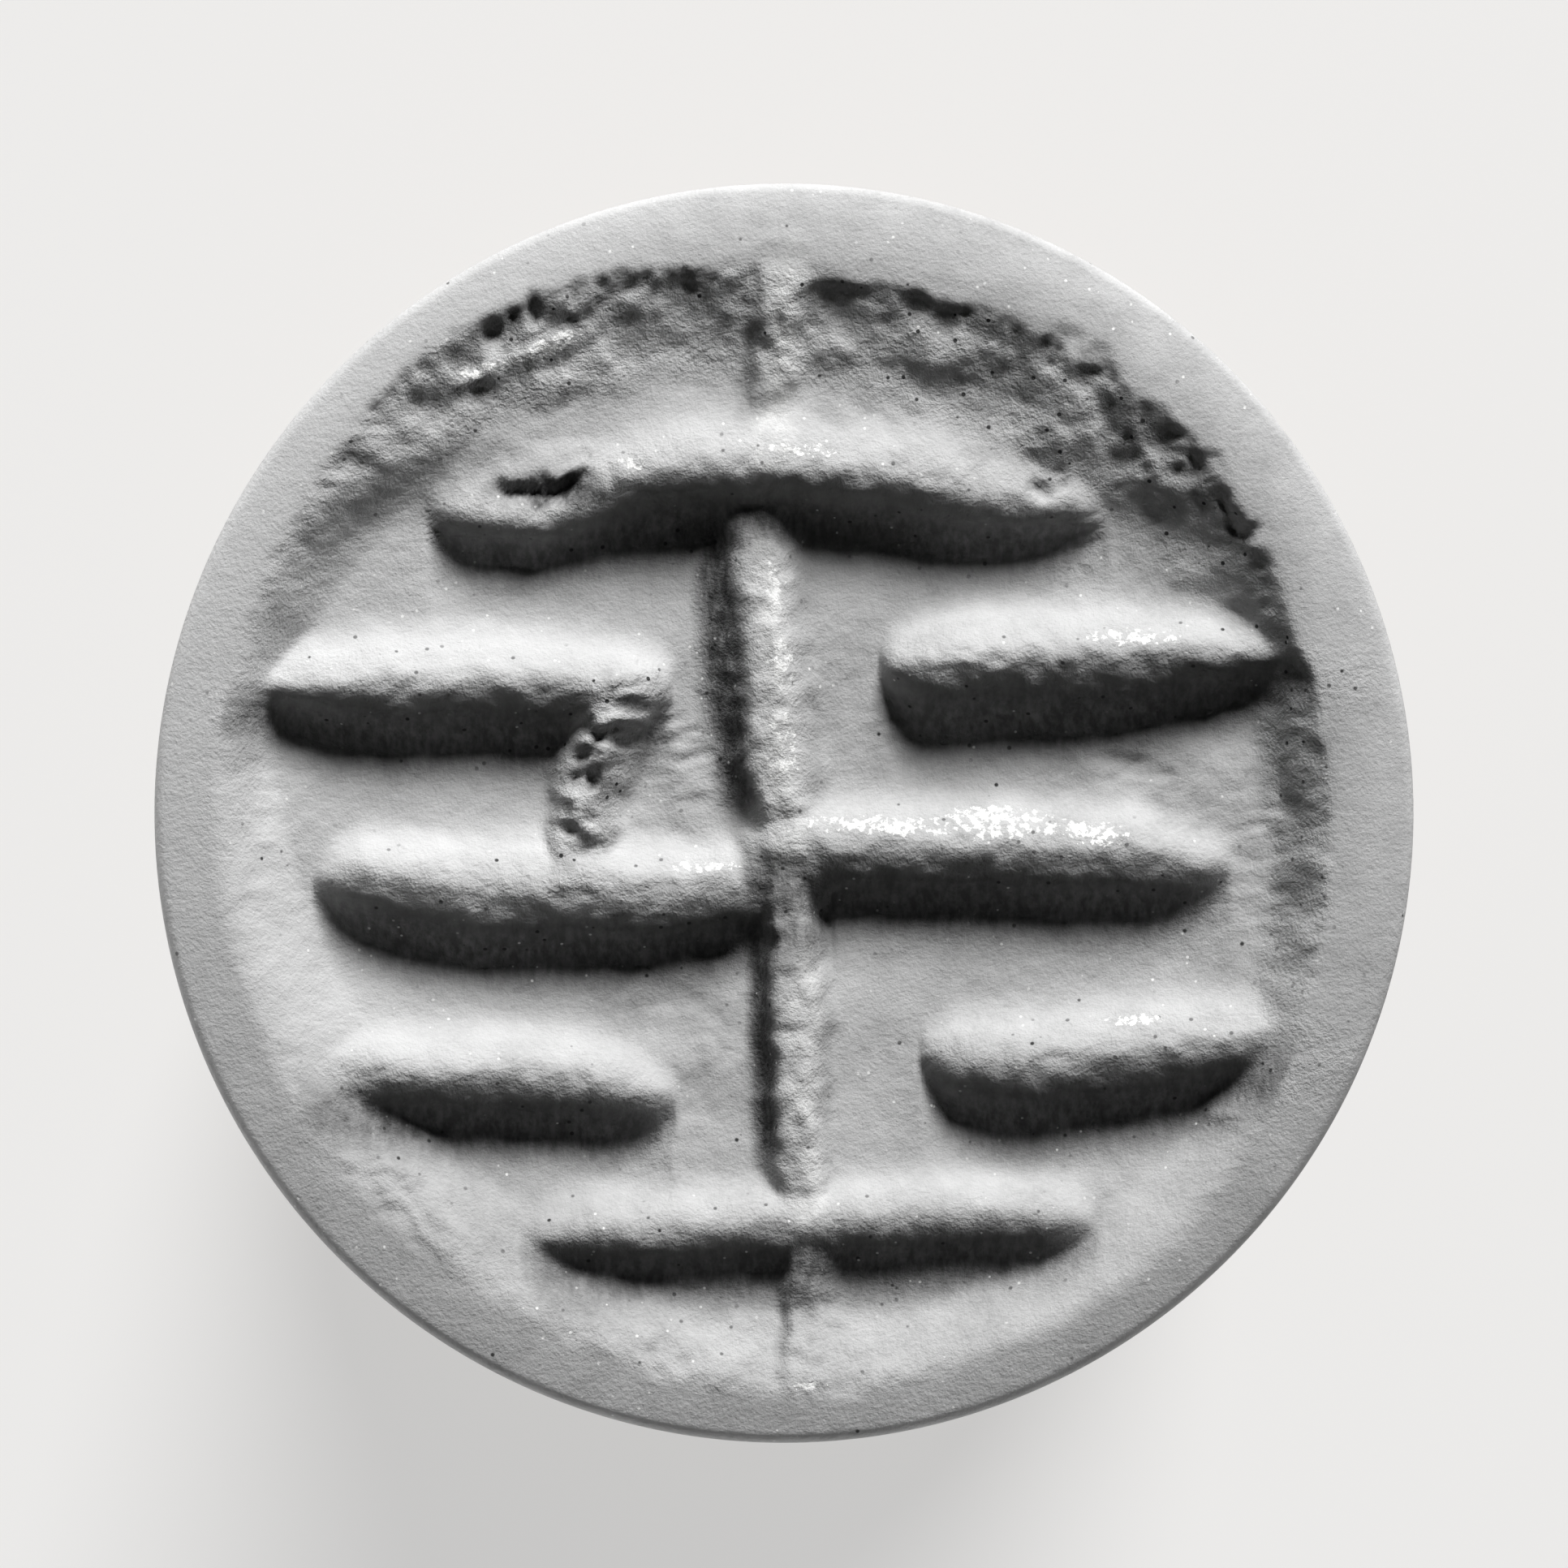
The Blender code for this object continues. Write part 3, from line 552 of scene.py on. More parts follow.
# raised bars: depth of the hollow below each, level part above the crest line, left tip and the length it
# tapers over, the same for the right tip, then stations: x, y of the crest, upper run, lower run, height
bars = {
    "topBar": {"trough": 0.26, "flat": 0.0, "ends": (-7.05, 1.6, 6.45, 2.2), "stations": [
        (-6.6, 6.0, 1.2, 0.75, 0.5), (-5.8, 5.85, 1.4, 0.66, 0.52), (-5.0, 5.76, 1.6, 0.6, 0.54),
        (-4.4, 5.9, 1.65, 0.65, 0.58), (-3.8, 6.2, 1.6, 0.84, 0.62), (-3.2, 6.5, 1.55, 0.98, 0.68),
        (-2.0, 6.8, 1.8, 1.1, 0.74), (-0.1, 6.82, 1.8, 0.96, 0.74), (1.0, 6.66, 1.8, 0.8, 0.74),
        (2.0, 6.56, 1.8, 0.88, 0.74), (3.4, 6.36, 1.7, 0.95, 0.74), (4.4, 6.2, 1.6, 0.8, 0.68),
        (5.2, 6.0, 1.5, 0.55, 0.58), (6.3, 5.86, 1.4, 0.4, 0.45)]},
    "upperLeft": {"trough": 0.26, "flat": 0.0, "ends": (-11.5, 3.2, -2.2, 1.6), "stations": [
        (-11.2, 2.35, 1.3, 0.25, 0.35), (-10.2, 2.4, 1.3, 0.4, 0.56), (-9.2, 2.56, 1.3, 0.82, 0.76),
        (-8.2, 2.7, 1.35, 1.16, 0.82), (-4.3, 2.7, 1.35, 1.24, 0.82), (-3.0, 2.5, 1.25, 1.2, 0.78)]},
    "upperRight": {"trough": 0.28, "flat": 0.0, "ends": (2.0, 1.6, 11.9, 6.0), "stations": [
        (2.4, 3.1, 1.1, 1.35, 0.96), (3.6, 3.25, 1.15, 1.45, 0.96), (5.4, 3.3, 1.2, 1.52, 0.98),
        (6.9, 3.3, 1.2, 1.38, 0.94), (8.4, 3.26, 1.2, 0.96, 0.84), (9.6, 3.2, 1.15, 0.64, 0.72),
        (10.6, 3.1, 1.1, 0.4, 0.6)]},
    "midLeft": {"trough": 0.34, "flat": 0.3, "ends": (-9.3, 2.4, 1.0, 1.2), "stations": [
        (-9.0, -1.22, 0.9, 0.98, 0.68), (-7.6, -1.36, 0.95, 1.2, 0.68), (-6.0, -1.46, 1.0, 1.32, 0.68),
        (-4.0, -1.52, 1.0, 1.3, 0.68), (-1.9, -1.55, 1.0, 1.15, 0.64), (0.1, -1.35, 0.85, 1.0, 0.56)]},
    "midRight": {"trough": 0.26, "flat": 0.15, "ends": (-0.9, 1.2, 8.8, 2.4), "stations": [
        (-0.2, -0.62, 0.95, 1.1, 0.66), (0.55, -0.56, 1.05, 1.18, 0.72), (4.6, -0.6, 1.1, 1.24, 0.74),
        (6.2, -0.66, 1.05, 1.2, 0.72), (7.4, -0.78, 1.0, 1.12, 0.68), (8.8, -1.0, 0.95, 1.0, 0.6)]},
    "lowLeft": {"trough": 0.36, "flat": 0.15, "ends": (-9.7, 3.4, -2.2, 2.0), "stations": [
        (-9.0, -5.06, 0.95, 1.12, 0.66), (-5.6, -5.06, 0.95, 1.18, 0.66), (-4.2, -5.14, 0.95, 1.16, 0.66),
        (-3.2, -5.35, 0.95, 1.08, 0.62), (-2.3, -5.65, 0.95, 1.0, 0.58)]},
    "lowRight": {"trough": 0.36, "flat": 0.1, "ends": (2.7, 2.2, 11.7, 5.6), "stations": [
        (2.4, -4.7, 1.05, 1.2, 0.74), (4.5, -4.85, 1.15, 1.32, 0.78), (5.5, -4.75, 1.15, 1.36, 0.78),
        (7.3, -4.58, 1.15, 1.26, 0.74), (8.6, -4.46, 1.15, 1.1, 0.7), (10.6, -4.3, 1.15, 0.9, 0.66)]},
    "bottomBar": {"trough": 0.22, "flat": 0.15, "ends": (-5.25, 2.4, 6.2, 2.6), "stations": [
        (-5.0, -8.25, 0.8, 0.96, 0.56), (-3.0, -8.15, 0.85, 1.0, 0.56), (0.55, -8.05, 0.85, 1.0, 0.56),
        (2.5, -7.9, 0.85, 1.0, 0.56), (3.8, -7.82, 0.8, 0.98, 0.56), (6.0, -7.95, 0.8, 0.94, 0.54)]},
}

# y, x of the crest, run of the right flank, run of the left flank, height above the floor
stems = {
    "stemUpper": [
        (-0.8, 0.2, 0.9, 0.9, 0.5), (0.35, -0.05, 0.95, 1.15, 0.64), (1.64, -0.15, 1.0, 1.3, 0.72),
        (3.25, -0.22, 1.0, 1.35, 0.72), (4.86, -0.38, 0.95, 1.25, 0.56), (6.1, -0.45, 0.95, 1.1, 0.36),
        (7.0, -0.45, 0.9, 0.8, 0.15)],
    "stemLower": [
        (-7.75, 0.48, 0.7, 0.8, 0.36), (-6.89, 0.42, 0.75, 0.9, 0.56), (-5.61, 0.33, 0.75, 0.95, 0.7),
        (-3.99, 0.3, 0.75, 0.95, 0.74), (-2.6, 0.28, 0.75, 0.95, 0.64), (-1.5, 0.15, 0.75, 0.85, 0.5)],
    "stemTail": [
        (-11.9, 0.4, 0.6, 0.6, 0), (-10.92, 0.5, 0.7, 0.65, 0.06), (-9.63, 0.55, 0.75, 0.7, 0.2),
        (-8.8, 0.53, 0.75, 0.7, 0.26)],
    "link": [
        (-1.2, -3.95, 0.85, 0.95, 0.46), (0.0, -3.9, 0.85, 1.0, 0.5), (0.8, -3.75, 1.0, 1.1, 0.6),
        (1.5, -3.5, 1.15, 1.2, 0.72), (2.6, -3.2, 1.15, 1.2, 0.84)],
    "stemTop": [
        (7.1, -0.3, 0.6, 0.75, 0.0), (8.5, -0.15, 0.6, 0.75, 0.26), (9.7, -0.03, 0.6, 0.7, 0.34),
        (10.9, 0.05, 0.6, 0.6, 0.16)],
}

# hollows and lumps: x, y, half length, half width, turn in degrees, depth (a lump's is below nought)
dents = [
    (-4.4, 6.42, 0.72, 0.32, 10, 0.34), (-5.2, 6.3, 0.68, 0.28, -4, 0.24),
    (-3.95, 6.58, 0.34, 0.2, 20, 0.16), (-4.8, 6.6, 0.4, 0.18, 10, 0.14), (5.15, 6.38, 0.4, 0.28, 0, 0.2),
    (-5.7, 9.54, 0.5, 0.45, 40, 0.13), (-5.01, 9.99, 0.4, 0.35, 25, 0.12),
    (-4.09, 10.31, 0.4, 0.3, 20, 0.1), (-3.24, 10.47, 0.4, 0.3, 15, 0.1), (4.49, 9.46, 0.4, 0.3, -30, 0.08),
    (5.62, 9.37, 0.4, 0.3, -35, 0.08), (6.35, 8.92, 0.5, 0.3, -40, 0.1), (7.39, 7.6, 0.72, 0.45, -45, 0.13),
    (8.2, 7.04, 0.9, 0.35, -50, 0.1), (9.0, 5.83, 0.6, 0.25, -60, 0.1), (9.9, 0.1, 1.3, 0.3, 84, 0.08),
    (9.75, 1.5, 0.7, 0.25, 72, 0.06), (-7.75, -7.95, 1.5, 0.26, -47, 0.07),
    (-7.2, -7.5, 2.0, 0.28, -45, -0.06), (7.0, 0.95, 0.9, 0.3, -14, 0.08),
    (-4.6, 6.75, 1.7, 0.75, 4, -0.17), (-6.0, 8.75, 0.7, 0.28, 12, -0.18),
    (-4.9, 9.15, 0.8, 0.3, 24, -0.16), (-1.63, -4.56, 0.35, 0.25, 20, -0.04),
    (2.0, -2.63, 0.4, 0.2, 5, -0.03), (6.02, 5.03, 0.3, 0.3, 0, -0.05), (-2.11, 5.51, 0.25, 0.25, 0, -0.05),
    (8.6, -5.87, 0.45, 0.35, -20, -0.1),
]

# painted shade: darker patches where the light leaves shade, as x, y, half length, half width, turn in
# degrees, strength
shadePatches = [
    (-1.4, -3.9, 1.4, 0.8, 0, 0.25), (7.1, 7.7, 0.9, 0.6, -40, 0.5), (-5.3, 9.9, 1.5, 0.35, 25, 0.4),
    (8.6, 6.0, 1.2, 0.4, -58, 0.35), (10.1, -0.6, 1.8, 0.35, 95, 0.24), (9.7, 1.0, 1.4, 0.42, 78, 0.2),
    (-4.4, 6.42, 0.95, 0.44, 10, 1.7), (-5.25, 6.3, 0.85, 0.36, -4, 0.8), (5.12, 6.42, 0.4, 0.2, 0, 0.5),
    (-5.5, -7.7, 3.6, 1.8, -25, 0.22), (3.5, -7.0, 3.0, 1.0, 5, 0.06), (-7.8, -8.0, 1.4, 0.3, -47, 0.25),
    (7.2, 0.9, 1.2, 0.35, -14, 0.22), (3.8, 8.2, 0.8, 0.35, -20, 0.3), (5.6, 7.6, 0.9, 0.3, -35, 0.25),
]

# rubbed and chipped patches: x, y, half length, half width, turn in degrees, depth of the ripples
scuffs = [
    (-1.9, 1.2, 1.3, 1.5, 0, 0.045), (-7.6, -7.6, 1.8, 0.55, -48, 0.03), (-2.4, -3.7, 1.7, 0.6, -12, 0.045),
    (9.4, -0.2, 1.1, 2.8, 0, 0.024), (3.5, -4.5, 1.2, 0.55, 5, 0.08), (6.9, 0.85, 1.3, 0.35, -12, 0.07),
    (1.9, 2.0, 0.8, 0.9, 0, 0.04), (9.0, -7.2, 0.9, 0.35, 55, 0.04), (-10.3, -0.5, 0.5, 2.0, 0, 0.035),
]

# white crust: x, y, half length, half width, turn in degrees
crusts = [
    (-0.05, 1.25, 0.95, 0.48, 92), (-0.1, 3.0, 0.8, 0.36, 92), (-0.2, 4.4, 0.8, 0.2, 95),
    (2.0, -0.25, 2.1, 0.3, -2), (4.3, -0.2, 1.6, 0.5, -4), (6.2, -0.4, 1.1, 0.35, -8),
    (6.9, 3.5, 1.3, 0.25, 0), (-3.0, 6.95, 0.4, 0.25, 0), (0.4, 7.2, 1.2, 0.2, 0),
    (-4.6, 9.3, 1.2, 0.3, 24), (-6.0, 8.8, 0.9, 0.25, 12), (7.0, -4.1, 0.9, 0.18, 3),
    (-1.6, -1.05, 1.0, 0.18, 0), (0.5, -11.4, 0.5, 0.16, 0),
]


def nearPatch(x, y, patch):
    # 1 at the middle of a turned ellipse, falling to 0 at its edge as 1 - along^2 - across^2
    atX, atY, halfLength, halfWidth, degrees = patch[:5]
    turn = math.radians(degrees)
    along = ((x - atX) * math.cos(turn) + (y - atY) * math.sin(turn)) / halfLength
    across = ((y - atY) * math.cos(turn) - (x - atX) * math.sin(turn)) / halfWidth
    return np.clip(1 - along ** 2 - across ** 2, 0, 1)


def evenedOut(place, stations, step, period=None):
    # the stations' columns read at each place, averaged over five places a step apart to leave no kink
    stations = np.array(stations, float)
    shifts = step * np.arange(-2, 3)
    return [sum(np.interp(place + s, stations[:, 0], column, period=period) for s in shifts) / len(shifts)
            for column in stations.T[1:]]


def lowerFall(t):
    # what is left of a height at t of the way down: a slant that steepens, 1 - 0.36 t - 0.64 t^4, levelling
    # out past the foot instead of crossing 0
    t = np.clip(t, 0, 4)
    return softFloor(1 - 0.36 * t - 0.64 * t ** 4, 0.05)


def barTaper(x, ends):
    # 1 along the bar, falling at each tip a little more bluntly than a quarter ellipse
    inside = np.clip(np.minimum((x - ends[0]) / ends[1], (ends[2] - x) / ends[3]), 0, 1)
    return np.sqrt(1 - (1 - inside) ** 3)


def barRise(x, y, bar):
    # above the crest line and its flat (1 - t)^3 (1 + 3t) of the height is left at t of the way down, and
    # below it lowerFall's share; runs and height shrink with the taper. The hollow opens with the lower fall
    # and climbs back slowly; painted shade, darker where the bar's shadow falls, thickens towards the foot.
    bumps = partial(layeredNoise, x, y)
    taper = barTaper(x + 0.15 * bumps(1.2, 2, 33), bar["ends"])
    crest, upperRun, lowerRun, top = evenedOut(x, bar["stations"], dieCut["ridgeStep"])
    narrow = 0.08 + 0.92 * taper
    upperRun, lowerRun = upperRun * narrow, lowerRun * narrow
    away = y - crest + 0.08 * bumps(1.7, 2, 23) + 0.02 * bumps(0.5, 2, 29)
    t = np.clip(softFloor(away - bar["flat"] * taper, 0.03) / upperRun, 0, 1)
    upper = (1 - t) ** 3 * (1 + 3 * t)
    down = np.clip(-away / lowerRun, 0, None)
    lower = lowerFall(down)
    share = smoothStep(-0.6, 0.4, away / (0.2 + 0.8 * taper))
    beyond = -away - lowerRun
    climb = np.clip(1 - np.clip(beyond, 0, None) / dieCut["troughReach"], 0, 1) ** 1.3
    hollow = bar["trough"] * (1 - lower) * climb
    flankShade = np.clip((down - 0.15) / 0.7, 0, 1) * (1 - smoothStep(-0.1, 1.25, beyond))
    rise = top * taper ** 1.2 * (upper * share + lower * (1 - share))
    return rise, hollow * taper, flankShade * taper ** 0.7


def softBar(x, y, bar):
    # the bar's profile averaged over three lines across it, with twice the weight on the middle one, which
    # rounds crest and foot
    shift = dieCut["barSoften"]
    before, here, after = (barRise(x, y + step, bar) for step in (-shift, 0, shift))
    return [(a + 2 * b + c) / 4 for a, b, c in zip(before, here, after)]


def stemRise(x, y, stations, sunk):
    # at t of the way down the right flank (1 - t^2)^2 of the height is left, and the left flank falls by a
    # quintic step from the flat's edge; painted shade lies on the left flank and thinly along the right
    # foot, and the crest gets a paler painted highlight that also stands for wear
    flat, foot, head = dieCut["stemFlat"], stations[0][0], stations[-1][0]
    crest, rightRun, leftRun, top = evenedOut(y, stations, dieCut["ridgeStep"])
    fade = bell(np.clip(foot - y, 0, None) + np.clip(y - head, 0, None), 0, dieCut["stemCap"])
    away = x - crest
    right = (1 - np.clip(away / rightRun, 0, 1) ** 2) ** 2
    down = (-away - flat) / (leftRun - flat)
    flankShade = smoothStep(0.15, 0.5, down) * (1 - smoothStep(0.85, 1.3, down)) * fade
    flankShade = flankShade + 0.25 * bell(away / rightRun, 0.75, 0.25) * fade
    flankShade = flankShade * smoothStep(0.4, 1.3, np.minimum(y - foot, head - y))
    wearAndHighlight = bell(away, 0.05, 0.32) * fade
    return (top + sunk) * fade * np.where(away > 0, right, 1 - quintic(down)), flankShade, wearAndHighlight


def faceRelief(x, y):
    # height below the rim's top: a rim that falls outwards, a wall to a sunk floor, bars and stems that
    # rise from it, then crumbling, dents, lumps and grain; also masks of crust, painted shade, roughness and
    # painted highlight
    cut, wear = dieCut, dieWear
    bumps = partial(layeredNoise, x, y)
    radius, heading = np.hypot(x, y), np.arctan2(y, x)
    edge, run, crumble = evenedOut(np.degrees(heading) % 360, rimStations, 4, 360)
    ragged = bumps(1.1, 4, 11)
    edge = edge + crumble * wear["edge"] * ragged
    inward = (edge - radius) / run
    t = np.clip(inward, 0, 1)
    eased = smoothStep(0, 1, inward)
    steep = 1.75 + 0.9 * np.clip(bumps(2.4, 3, 47), -0.6, 1)
    broken = (1 - (1 - t) ** steep) * (0.35 + 0.65 * smoothStep(0, 0.18, t))
    wall = eased + (broken - eased) * smoothStep(0.4, 0.9, crumble) * smoothStep(-4, 2, y)
    out = np.clip(radius - cut["rimStart"], 0, None)
    level, towardsX, towardsY = cut["rimLean"]
    lean = level + towardsX * np.cos(heading) + towardsY * np.sin(heading)
    rim = -(cut["rimFall"][0] + cut["rimFall"][1] * out) * out * lean
    shapes = [softBar(x, y, bar) for bar in bars.values()]
    sunk = sum(shape[1] for shape in shapes)
    lumpy = smoothStep(-0.1, 0.6, bumps(4.5, 2, 25))
    floorWave = wear["floorWaves"] * bumps(3.5, 2, 21)
    floorWave = floorWave + wear["floorLumps"] * lumpy * bumps(1.1, 3, 27)
    low = -cut["floorDepth"] + cut["topFloorRise"] * smoothStep(5.6, 7.6, y) + floorWave - sunk
    low = low + cut["endFloorRise"] * smoothStep(4.5, 10.5, np.abs(x) * 0.25 - y)
    ground = rim + (low - rim) * wall

    # broken wall: ragged lumps stretched along the rim, and pits that gather under its edge
    onWall = crumble * smoothStep(0.0, 0.12, t) * (1 - smoothStep(0.7, 1.05, inward))
    lumps = layeredNoise(np.degrees(heading) % 360 * 0.19 * 0.6, radius, 0.8, 4, 31)
    flakes = np.abs(bumps(0.5, 3, 41))
    smears = bumps(1.5, 4, 43)
    gather = smoothStep(0.0, 0.5, bumps(1.6, 2, 61) + 0.3 * (1 - smoothStep(0.15, 0.5, t)))
    pits = smoothStep(0.45, 0.1, cellDistance(x, y, 0.5, 51)) * gather * (1 - 0.6 * smoothStep(0.2, 0.6, t))
    bites = smoothStep(0.6, 0.15, cellDistance(x + 0.1 * lumps, y, 0.7, 57)) * crumble
    bites = bites * smoothStep(-0.02, 0.08, t) * (1 - smoothStep(0.12, 0.45, t)) * smoothStep(2, 6, y)
    crumbs = wear["lumps"] * lumps + wear["smears"] * smears - wear["flakes"] * flakes - wear["pits"] * pits
    ground = ground + onWall * crumbs - wear["bites"] * bites

    # ridges join as the fifth root of the sum of their fifth powers: the larger one, with a filled corner
    power = cut["ridgePower"]
    knots = bumps(0.55, 3, 81)
    sway = 0.1 * bumps(1.1, 3, 83)
    drilled = smoothStep(0.5, 0.15, cellDistance(x + 0.12 * knots, y + 0.1 * ragged, 0.5, 53))
    raised = sum(np.clip(shape[0], 0, None) ** power for shape in shapes)
    flankShade = np.max([shape[2] for shape in shapes], 0)
    rough = np.maximum(onWall, 0.8 * flankShade)
    wearAndHighlight = 0 * x
    # each stem adds painted shade on its left flank and a painted highlight on its crest
    for name, stations in stems.items():
        rise, dark, crestHighlight = stemRise(x + sway, y, stations, sunk)
        if name in ("stemTop", "stemTail"):
            ground = ground + rise * (1 + 0.2 * knots)
            flankShade = np.maximum(flankShade, 0.3 * dark)
            wearAndHighlight = np.maximum(wearAndHighlight, 1.4 * crestHighlight * (name == "stemTop"))
            continue
        if name == "link":
            rise = rise * (1 + 0.22 * knots - 0.12 * drilled)
            onLink = smoothStep(0.1, 0.3, rise)
            rough = np.maximum(rough, onLink)
            flankShade = flankShade * (1 - 0.85 * smoothStep(0.1, 0.4, rise))
            # painted shade in the link's drilled hollows
            dark = 0.3 * drilled * onLink
        else:
            rise = rise + 0.06 * knots * dark + 0.016 * knots * smoothStep(0.1, 0.3, rise)
            rough = np.maximum(rough, np.maximum(dark, 0.35 * smoothStep(0.1, 0.3, rise)))
            wearAndHighlight = np.maximum(wearAndHighlight, crestHighlight)
        flankShade = np.maximum(flankShade, dark)
        raised = raised + np.clip(rise, 0, None) ** power
    raised = raised ** (1 / power)
    raised = raised * (1 + 0.05 * bumps(1.3, 2, 73) + 0.06 * bumps(0.45, 3, 71))
    surface = softMax(ground, low + raised, 0.002 + np.clip(0.6 * (ground - low), 0, 0.25))
    rough = np.maximum(rough, 0.45 * smoothStep(0.15, 0.4, raised))

    # dents and scuffs have ragged outlines, and the grain is finer on the rim than inside it
    warpX, warpY = x + 0.22 * bumps(0.7, 3, 121), y + 0.16 * bumps(0.6, 3, 131)
    for dent in dents:
        surface = surface - dent[5] * nearPatch(warpX, warpY, dent) ** 1.5
    inside = smoothStep(0.0, 0.1, inward)
    streak = layeredNoise((x * 0.8 + y * 0.6) / 3.0, x * 0.6 - y * 0.8, 0.35, 2, 91)
    grain = wear["streaks"] * streak + wear["grain"] * bumps(0.35, 2, 101)
    ripple = layeredNoise(x * 0.5 + y * 0.35, y * 1.5 - x * 0.4, 0.5, 3, 95)
    for scuff in scuffs:
        grain = grain + scuff[5] * ripple * nearPatch(warpX, warpY, scuff)
    surface = surface + inside * grain + (1 - inside) * wear["rimGrain"] * bumps(0.6, 2, 111)

    chalk = np.max([nearPatch(x, y, crust) ** 0.5 for crust in crusts], 0)
    # painted shade: dark colour under the bars, on the stems' flanks, in the wall's pits and bites and in
    # the patches below
    paintedShade = inside * np.maximum(flankShade, onWall * np.maximum(0.45 * pits, 0.22 * bites))
    for shadePatch in shadePatches:
        paintedShade = np.maximum(paintedShade, np.minimum(shadePatch[5] * nearPatch(warpX, warpY, shadePatch), 1))
    return np.minimum(surface, 0), {"chalk": chalk, "paintedShade": paintedShade, "rough": rough, "wearAndHighlight": wearAndHighlight}


def discGrid(count):
    # a square grid pressed into a disc: the larger coordinate sets the ring, and the ratio of the two
    # sets the angle within a quarter turn; rings lie closer together inside the fine radius
    line = np.linspace(-1, 1, count + 1)
    a, b = np.meshgrid(line, line)
    wide = np.abs(a) >= np.abs(b)
    ring = np.where(wide, a, b)
    safe = np.where(ring == 0, 1, ring)
    turn = np.where(wide, np.pi / 4 * b / safe, np.pi / 2 - np.pi / 4 * a / safe)
    radius = np.interp(np.abs(ring), [0, dieCut["fineShare"], 1],
                       [0, dieCut["fineRadius"], dieCut["gridRadius"]]) * np.sign(ring)
    return radius * np.cos(turn), radius * np.sin(turn)


def makeDie():
    cut = dieCut
    bottom, top = span("seal_die")
    shoulder = span("die_cup")[1] + cut["overCup"]
    n = cut["grid"]
    x, y = discGrid(n)
    height, masks = faceRelief(x, y)
    face = np.stack([x, y, top + height], -1).reshape(-1, 3)
    # the grid's border, walked once round
    index = np.arange((n + 1) ** 2).reshape(n + 1, n + 1)
    border = np.concatenate([index[0, :-1], index[:-1, -1], index[-1, :0:-1], index[:0:-1, 0]])
    rimZ = face[border, 2]
    heading = np.arctan2(face[border, 1], face[border, 0])
    # below it the side is a lathe's: rolled edge, wall, foot round, shoulder and spigot down to the back
    roll = cut["faceRadius"] - cut["gridRadius"]
    outline = []
    for bend in np.linspace(0.15, 1, 5) * np.pi / 2:
        drop = roll * (1 - np.cos(bend)) + cut["rollDrop"] * np.sin(bend)
        outline.append((cut["gridRadius"] + roll * np.sin(bend), rimZ - drop))
    side = roundedLine([
        (cut["faceRadius"], top - cut["wallTop"], 0), (cut["faceRadius"], shoulder, cut["footRound"]),
        (cut["spigotRadius"], shoulder, 0.15), (cut["spigotRadius"], bottom, 0.3), (0, bottom, 0)], 2.6, 4)
    outline += list(side[:-1])
    rings = [np.stack(np.broadcast_arrays(r * np.cos(heading), r * np.sin(heading), z), -1)
             for r, z in outline]
    points = np.concatenate([face, *rings, [[0, 0, bottom]]]) * mm
    faces = gridFaces(n + 1, n + 1, False, False)
    count = len(border)
    loops = [border] + [len(face) + k * count + np.arange(count) for k in range(len(rings))]
    for upper, lower in zip(loops, loops[1:]):
        faces += np.stack([upper, lower, np.roll(lower, -1), np.roll(upper, -1)], -1).tolist()
    centre = np.full(count, len(points) - 1)
    faces += np.stack([loops[-1], centre, np.roll(loops[-1], -1)], -1).tolist()
    piece = putPiece("carved_die", points, faces, stone, "head", ["seal_die"], "grey_stone")
    for name, values in masks.items():
        addMask(piece, name, np.pad(values.ravel(), (0, len(points) - len(face))))


# Turned pieces of the grip and head: lengths in mm, outlines as (radius, height, rounding)

pinSides = {"ferrule_pin_left": -1, "ferrule_pin_right": 1}


def pinCutters(radius, half):
    return [rodCutter(node, "x", radius, half) for node in pinSides]


handleCut = {
    "stations": [(0, 8.8), (2.8, 9.6), (6.6, 7.6), (19, 6.2), (36.5, 9.8), (46.4, 8.1)],
    "columns": 192, "rows": 150, "bed": 0.2, "foot": 8.5, "footEdge": (8.65, 0.06), "neckEdge": (0.08, 0.02),
    "pilot": 2.0, "pilotDepth": 12.6, "pilotTip": 16.6, "tenon": 6.6, "insertBore": 4.7, "insertGap": 0.3,
    "screwBore": 3.375, "screwDepth": 1.0, "pinHole": (0.9, 1.6), "studHole": 0.8, "studGap": 0.3,
    "toolWave": 0.012, "oval": 0.02, "dents": 9, "dentDepth": 0.07, "dentSpan": (6, 36), "girth": 7.5,
    "holdSwell": 36, "holdFoot": 2.8,
}


def handleOutline(foot):
    # a chain of cubic curves through the stations, level at the swells and the waist
    h, r = np.array(handleCut["stations"]).T
    slope = np.array([2 * (r[1] - r[0]) / (h[1] - h[0]), 0, (r[3] - r[2]) / (h[3] - h[2]), 0, 0,
                      2 * (r[5] - r[4]) / (h[5] - h[4])])
    at = np.linspace(h[0], h[-1], handleCut["rows"])
    k = np.clip(np.searchsorted(h, at, "right") - 1, 0, len(h) - 2)
    step = h[k + 1] - h[k]
    t = (at - h[k]) / step
    radius = ((1 + 2 * t) * (1 - t) ** 2 * r[k] + t * (1 - t) ** 2 * step * slope[k]
              + t ** 2 * (3 - 2 * t) * r[k + 1] - t ** 2 * (1 - t) * step * slope[k + 1])
    return np.stack([radius, foot + at], -1)


